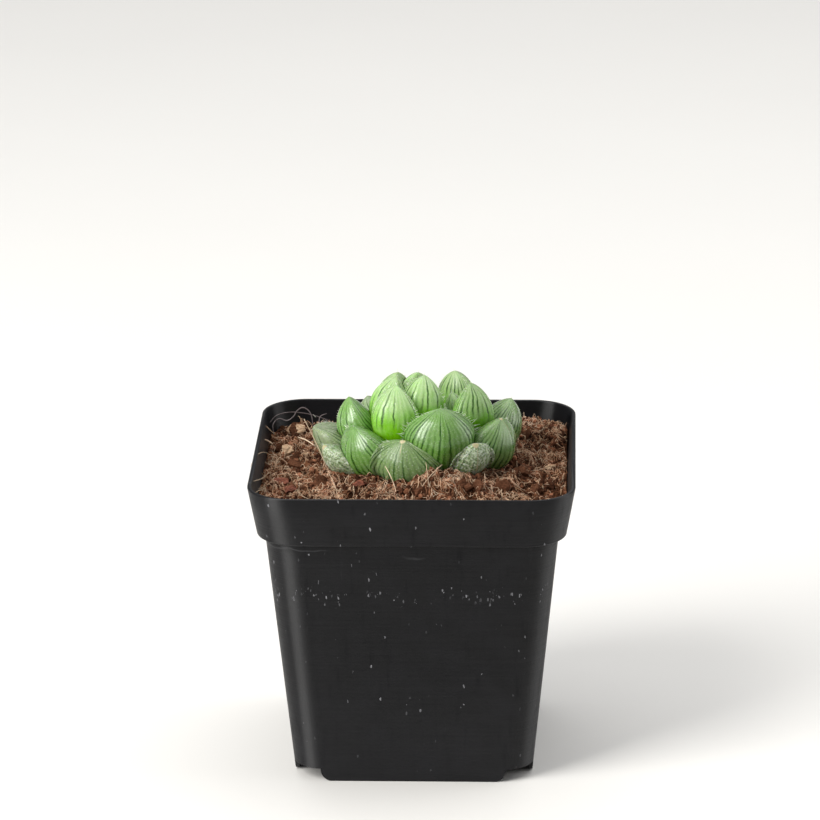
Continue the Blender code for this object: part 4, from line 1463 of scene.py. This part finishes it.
def fibre_curve(name, paths, skin):
    """One curve object with a spline for each path. A path is its points and its half thickness."""
    curve = bpy.data.curves.new(name, "CURVE")
    curve.dimensions = "3D"
    curve.bevel_depth = MM
    curve.bevel_resolution = 0
    curve.use_fill_caps = True
    for path, thickness in paths:
        spline = curve.splines.new("POLY")
        spline.points.add(len(path) - 1)
        spline.points.foreach_set("co", [c for p in path for c in (*p, 1.0)])
        shares = [0.12 + 0.76 * k / (len(path) - 1) for k in range(len(path))]
        ends = [0.45 + 0.55 * math.sin(math.pi * share) for share in shares]
        spline.points.foreach_set("radius", [thickness * end for end in ends])
    obj = bpy.data.objects.new(name, curve)
    bpy.context.scene.collection.objects.link(obj)
    activate(obj)
    bpy.ops.object.convert(target="MESH")
    obj = bpy.context.object
    obj.data.materials.clear()
    obj.data.materials.append(skin)
    activate(obj)
    edit_all()
    bpy.ops.mesh.remove_doubles(threshold=0.001 * MM)
    bpy.ops.object.mode_set(mode="OBJECT")
    smooth(obj)
    return obj


# shade: (share of the count, lengths, arch, half thicknesses, dark colour, light colour); millimetres
FIBRE_KINDS = {
    "umber_fibres": (1.0, (1.2, 4.5), 0.15, (0.045, 0.12), (0.040, 0.016, 0.008), (0.15, 0.065, 0.034)),
    "russet_fibres": (1.0, (1.2, 4.0), 0.3, (0.03, 0.08), (0.17, 0.068, 0.033), (0.52, 0.25, 0.135)),
    "tan_fibres": (1.0, (1.0, 3.6), 0.4, (0.025, 0.065), (0.46, 0.25, 0.14), (0.95, 0.68, 0.47)),
    "pale_fibres": (1.0, (0.8, 3.0), 0.5, (0.02, 0.05), (0.62, 0.40, 0.24), (0.98, 0.82, 0.62)),
    "straw_fibres": (0.04, (2.5, 8.0), 0.6, (0.025, 0.06), (0.55, 0.40, 0.27), (0.82, 0.68, 0.50)),
}

# Threads that stand clear of the soil: points in millimetres, then the half thickness
STRAWS = (
    (((-21.7, -4.0, 68.8), (-20.3, -4.3, 66.0), (-18.7, -5.0, 62.7), (-17.2, -5.6, 59.0)), 0.09),
    (((-5.4, -14.4, 62.6), (-4.5, -16.0, 61.6), (-3.5, -17.6, 59.8), (-2.9, -19.2, 57.8)), 0.09),
    (((2.6, -15.0, 63.6), (2.8, -16.2, 62.8), (3.1, -17.6, 61.2), (3.5, -19.0, 59.0)), 0.06),
    (((5.8, -15.8, 63.4), (4.5, -17.0, 62.6), (2.7, -18.2, 60.8), (0.9, -19.6, 58.4)), 0.08),
    (((-17.0, -8.2, 60.0), (-16.4, -11.0, 59.6), (-15.2, -15.0, 58.8), (-14.4, -19.0, 57.4)), 0.05),
    (((-31.5, 17.3, 61.0), (-30.9, 17.8, 60.2), (-29.0, 18.9, 57.9)), 0.09),
    (((-30.7, 11.8, 59.2), (-30.0, 11.6, 59.0), (-29.0, 11.4, 58.4)), 0.20),
    (((-24.0, 14.2, 58.9), (-22.4, 12.6, 58.9), (-20.5, 10.8, 58.3)), 0.15),
    (((-29.3, 5.3, 58.4), (-30.4, 0.5, 60.3), (-31.4, -6.0, 61.4), (-32.0, -9.5, 60.6)), 0.06),
    (((-32.0, -18.6, 60.4), (-30.6, -17.9, 60.6), (-29.6, -13.0, 59.4), (-28.4, -5.0, 58.2)), 0.06),
    (((-30.2, -24.0, 60.2), (-29.6, -20.0, 59.4), (-29.2, -15.0, 57.6)), 0.06),
)

ROOTS = (
    (((-29.4, 20.5, 57.4), (-29.6, 22.0, 59.0), (-28.6, 24.4, 59.5), (-26.9, 25.0, 58.9),
      (-25.6, 25.3, 59.7), (-25.0, 25.5, 60.7), (-23.9, 25.6, 61.5), (-22.8, 25.7, 61.1),
      (-22.0, 25.6, 59.9), (-21.6, 25.2, 57.6)), 0.14),
    (((-20.3, 22.0, 57.8), (-20.2, 22.5, 60.0), (-19.8, 22.8, 60.7), (-18.7, 23.0, 61.1)), 0.11),
    (((-30.2, 21.5, 59.6), (-28.9, 24.6, 60.2), (-26.0, 26.6, 60.2), (-22.0, 27.4, 59.4),
      (-18.0, 27.4, 58.0)), 0.10),
)


class HAWORTHIA_OT_make_fibres(bpy.types.Operator):
    """Lay loose coir fibres over the soil, and the longer straws that stand clear of it"""

    bl_idname = "haworthia.make_fibres"
    bl_label = "Make Fibres"

    def execute(self, context):
        settings = context.scene.haworthia_soil
        trees = leaf_trees()
        for seed, (name, row) in enumerate(FIBRE_KINDS.items()):
            share, lengths, arch, thicknesses, dark, light = row
            rng = random.Random(seed + 3)
            paths = []
            for _ in range(int(settings.fibres * share / (1))):
                path = lay_fibre(rng, trees, lengths, arch)
                if path:
                    paths.append((path, rng.uniform(*thicknesses)))
            if name == "straw_fibres":
                paths += [(smooth_path(points), thickness) for points, thickness in STRAWS]
            fibres = fibre_curve(name, paths, make_fibre_skin(name + "_skin", dark, light))
            place_piece(fibres, "coir")
        paths = [(smooth_path(points), thickness) for points, thickness in ROOTS]
        skin = make_fibre_skin("bare_root_skin", (0.10, 0.08, 0.08), (0.22, 0.19, 0.19))
        roots = fibre_curve("bare_roots", paths, skin)
        place_piece(roots, "root")
        return {"FINISHED"}


def smooth_path(points, steps=5):
    """Points along a smooth curve through the given ones, which are in millimetres."""
    points = [Vector(p) * MM for p in points]
    points = [points[0] * 2 - points[1], *points, points[-1] * 2 - points[-2]]
    path = []
    for a, b, c, d in zip(points, points[1:], points[2:], points[3:]):
        for step in range(steps):
            t = step / steps
            square, cube = (2 * a - 5 * b + 4 * c - d) * t**2, (3 * b - a - 3 * c + d) * t**3
            path.append(0.5 * ((2 * b) + (c - a) * t + square + cube))
    return path + [points[-2]]


# ---------------------------------------------------------------- stage


# name: place and size in metres, power in watts, colour
LIGHTS = {
    "window": ((-0.62, -0.45, 0.50), (0.46, 0.9), 13.5, (1.0, 0.99, 0.97)),
    "ceiling": ((0.10, 0.40, 1.1), (1.7, 1.4), 12.0, (1.0, 1.0, 1.0)),
    "right_fill": ((0.8, 0.1, 0.35), (0.6, 0.7), 3.0, (1.0, 1.0, 1.0)),
}
LIGHT_AIM = Vector((0, 0, 0.05))
ROOM_COLOUR = (0.95, 0.97, 1.0, 1.0)
ROOM_STRENGTH = 0.285
VIEW_CENTRE = Vector((-0.96, 0, 69.41)) * MM


def soft_light(name, place, size, power, colour):
    deselect()
    bpy.ops.object.light_add(type="AREA", location=place)
    light = bpy.context.object
    light.name = name
    light.data.shape = "RECTANGLE"
    light.data.size, light.data.size_y = size
    light.data.energy = power
    light.data.color = colour
    light.rotation_euler = (LIGHT_AIM - Vector(place)).to_track_quat("-Z", "Y").to_euler()


class HAWORTHIA_OT_set_stage(bpy.types.Operator):
    """Set the floor, the soft lights and the camera"""

    bl_idname = "haworthia.set_stage"
    bl_label = "Set Stage"

    def execute(self, context):
        stage = context.scene.haworthia_stage
        deselect()
        bpy.ops.mesh.primitive_plane_add(size=6, location=(0, 0, 0))
        floor = take_new("floor")
        material, tree, shader = new_material("pale_floor", roughness=0.6)
        mottle = noise_value(tree, object_place(tree), 12.0, 4.0)
        darker = shade(stage.floor_colour, 0.97)
        feed(tree, mix_colour(tree, mottle, darker, stage.floor_colour), shader.inputs["Base Color"])
        floor.data.materials.append(material)

        world = bpy.data.worlds.new("soft_room")
        world.use_nodes = True
        background = world.node_tree.nodes["Background"]
        background.inputs["Color"].default_value = ROOM_COLOUR
        background.inputs["Strength"].default_value = ROOM_STRENGTH
        context.scene.world = world
        for name, row in LIGHTS.items():
            soft_light(name, *row)

        azimuth, elevation, roll = stage.azimuth, stage.elevation, stage.roll
        right = Vector((math.cos(azimuth), math.sin(azimuth), 0))
        level = Vector((math.sin(azimuth), -math.cos(azimuth), 0))
        back = level * math.cos(elevation) + Vector((0, 0, math.sin(elevation)))
        up = back.cross(right)
        tilted_right = right * math.cos(roll) + up * math.sin(roll)
        tilted_up = up * math.cos(roll) - right * math.sin(roll)
        place = VIEW_CENTRE + back * stage.distance
        deselect()
        bpy.ops.object.camera_add(location=place)
        camera = bpy.context.object
        camera.name = "camera"
        camera.rotation_euler = Matrix((tilted_right, tilted_up, back)).transposed().to_euler()
        camera.data.lens = stage.lens
        camera.data.sensor_width = 36
        camera.data.clip_start = 0.05
        context.scene.camera = camera
        context.scene.view_settings.view_transform = "Standard"
        return {"FINISHED"}


# ---------------------------------------------------------------- add-on


class HAWORTHIA_PT_panel(bpy.types.Panel):
    """Lists the settings and the operators"""

    bl_label = "Potted Haworthia"
    bl_idname = "HAWORTHIA_PT_panel"
    bl_space_type = "VIEW_3D"
    bl_region_type = "UI"
    bl_category = "Haworthia"

    def draw(self, context):
        for label, group in SETTINGS.items():
            box = self.layout.box()
            box.label(text=label.title())
            settings = getattr(context.scene, "haworthia_" + label)
            for name in group.__annotations__:
                box.prop(settings, name)
        for operator in OPERATORS:
            self.layout.operator(operator.bl_idname)


SETTINGS = {"pot": PotSettings, "leaves": LeafSettings, "soil": SoilSettings, "stage": StageSettings}
OPERATORS = (
    HAWORTHIA_OT_set_stage,
    HAWORTHIA_OT_make_pot,
    HAWORTHIA_OT_make_soil,
    HAWORTHIA_OT_make_leaves,
    HAWORTHIA_OT_finish_stem,
    HAWORTHIA_OT_make_chips,
    HAWORTHIA_OT_make_crumbs,
    HAWORTHIA_OT_make_fibres,
)


def register():
    for cls in (*SETTINGS.values(), *OPERATORS, HAWORTHIA_PT_panel):
        bpy.utils.register_class(cls)
    for label, group in SETTINGS.items():
        setattr(bpy.types.Scene, "haworthia_" + label, PointerProperty(type=group))


def unregister():
    for label in SETTINGS:
        delattr(bpy.types.Scene, "haworthia_" + label)
    for cls in reversed((*SETTINGS.values(), *OPERATORS, HAWORTHIA_PT_panel)):
        bpy.utils.unregister_class(cls)


def main():
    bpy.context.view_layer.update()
    register()
    for make_group in (make_grain_group, make_specks_group, make_lines_group, make_skin_group):
        make_group()
    bpy.ops.haworthia.set_stage()
    bpy.ops.haworthia.make_pot()
    bpy.ops.haworthia.make_soil()
    bpy.ops.haworthia.make_leaves()
    bpy.ops.haworthia.finish_stem()
    bpy.ops.haworthia.make_chips()
    bpy.ops.haworthia.make_crumbs()
    bpy.ops.haworthia.make_fibres()


if __name__ == "__main__":
    main()
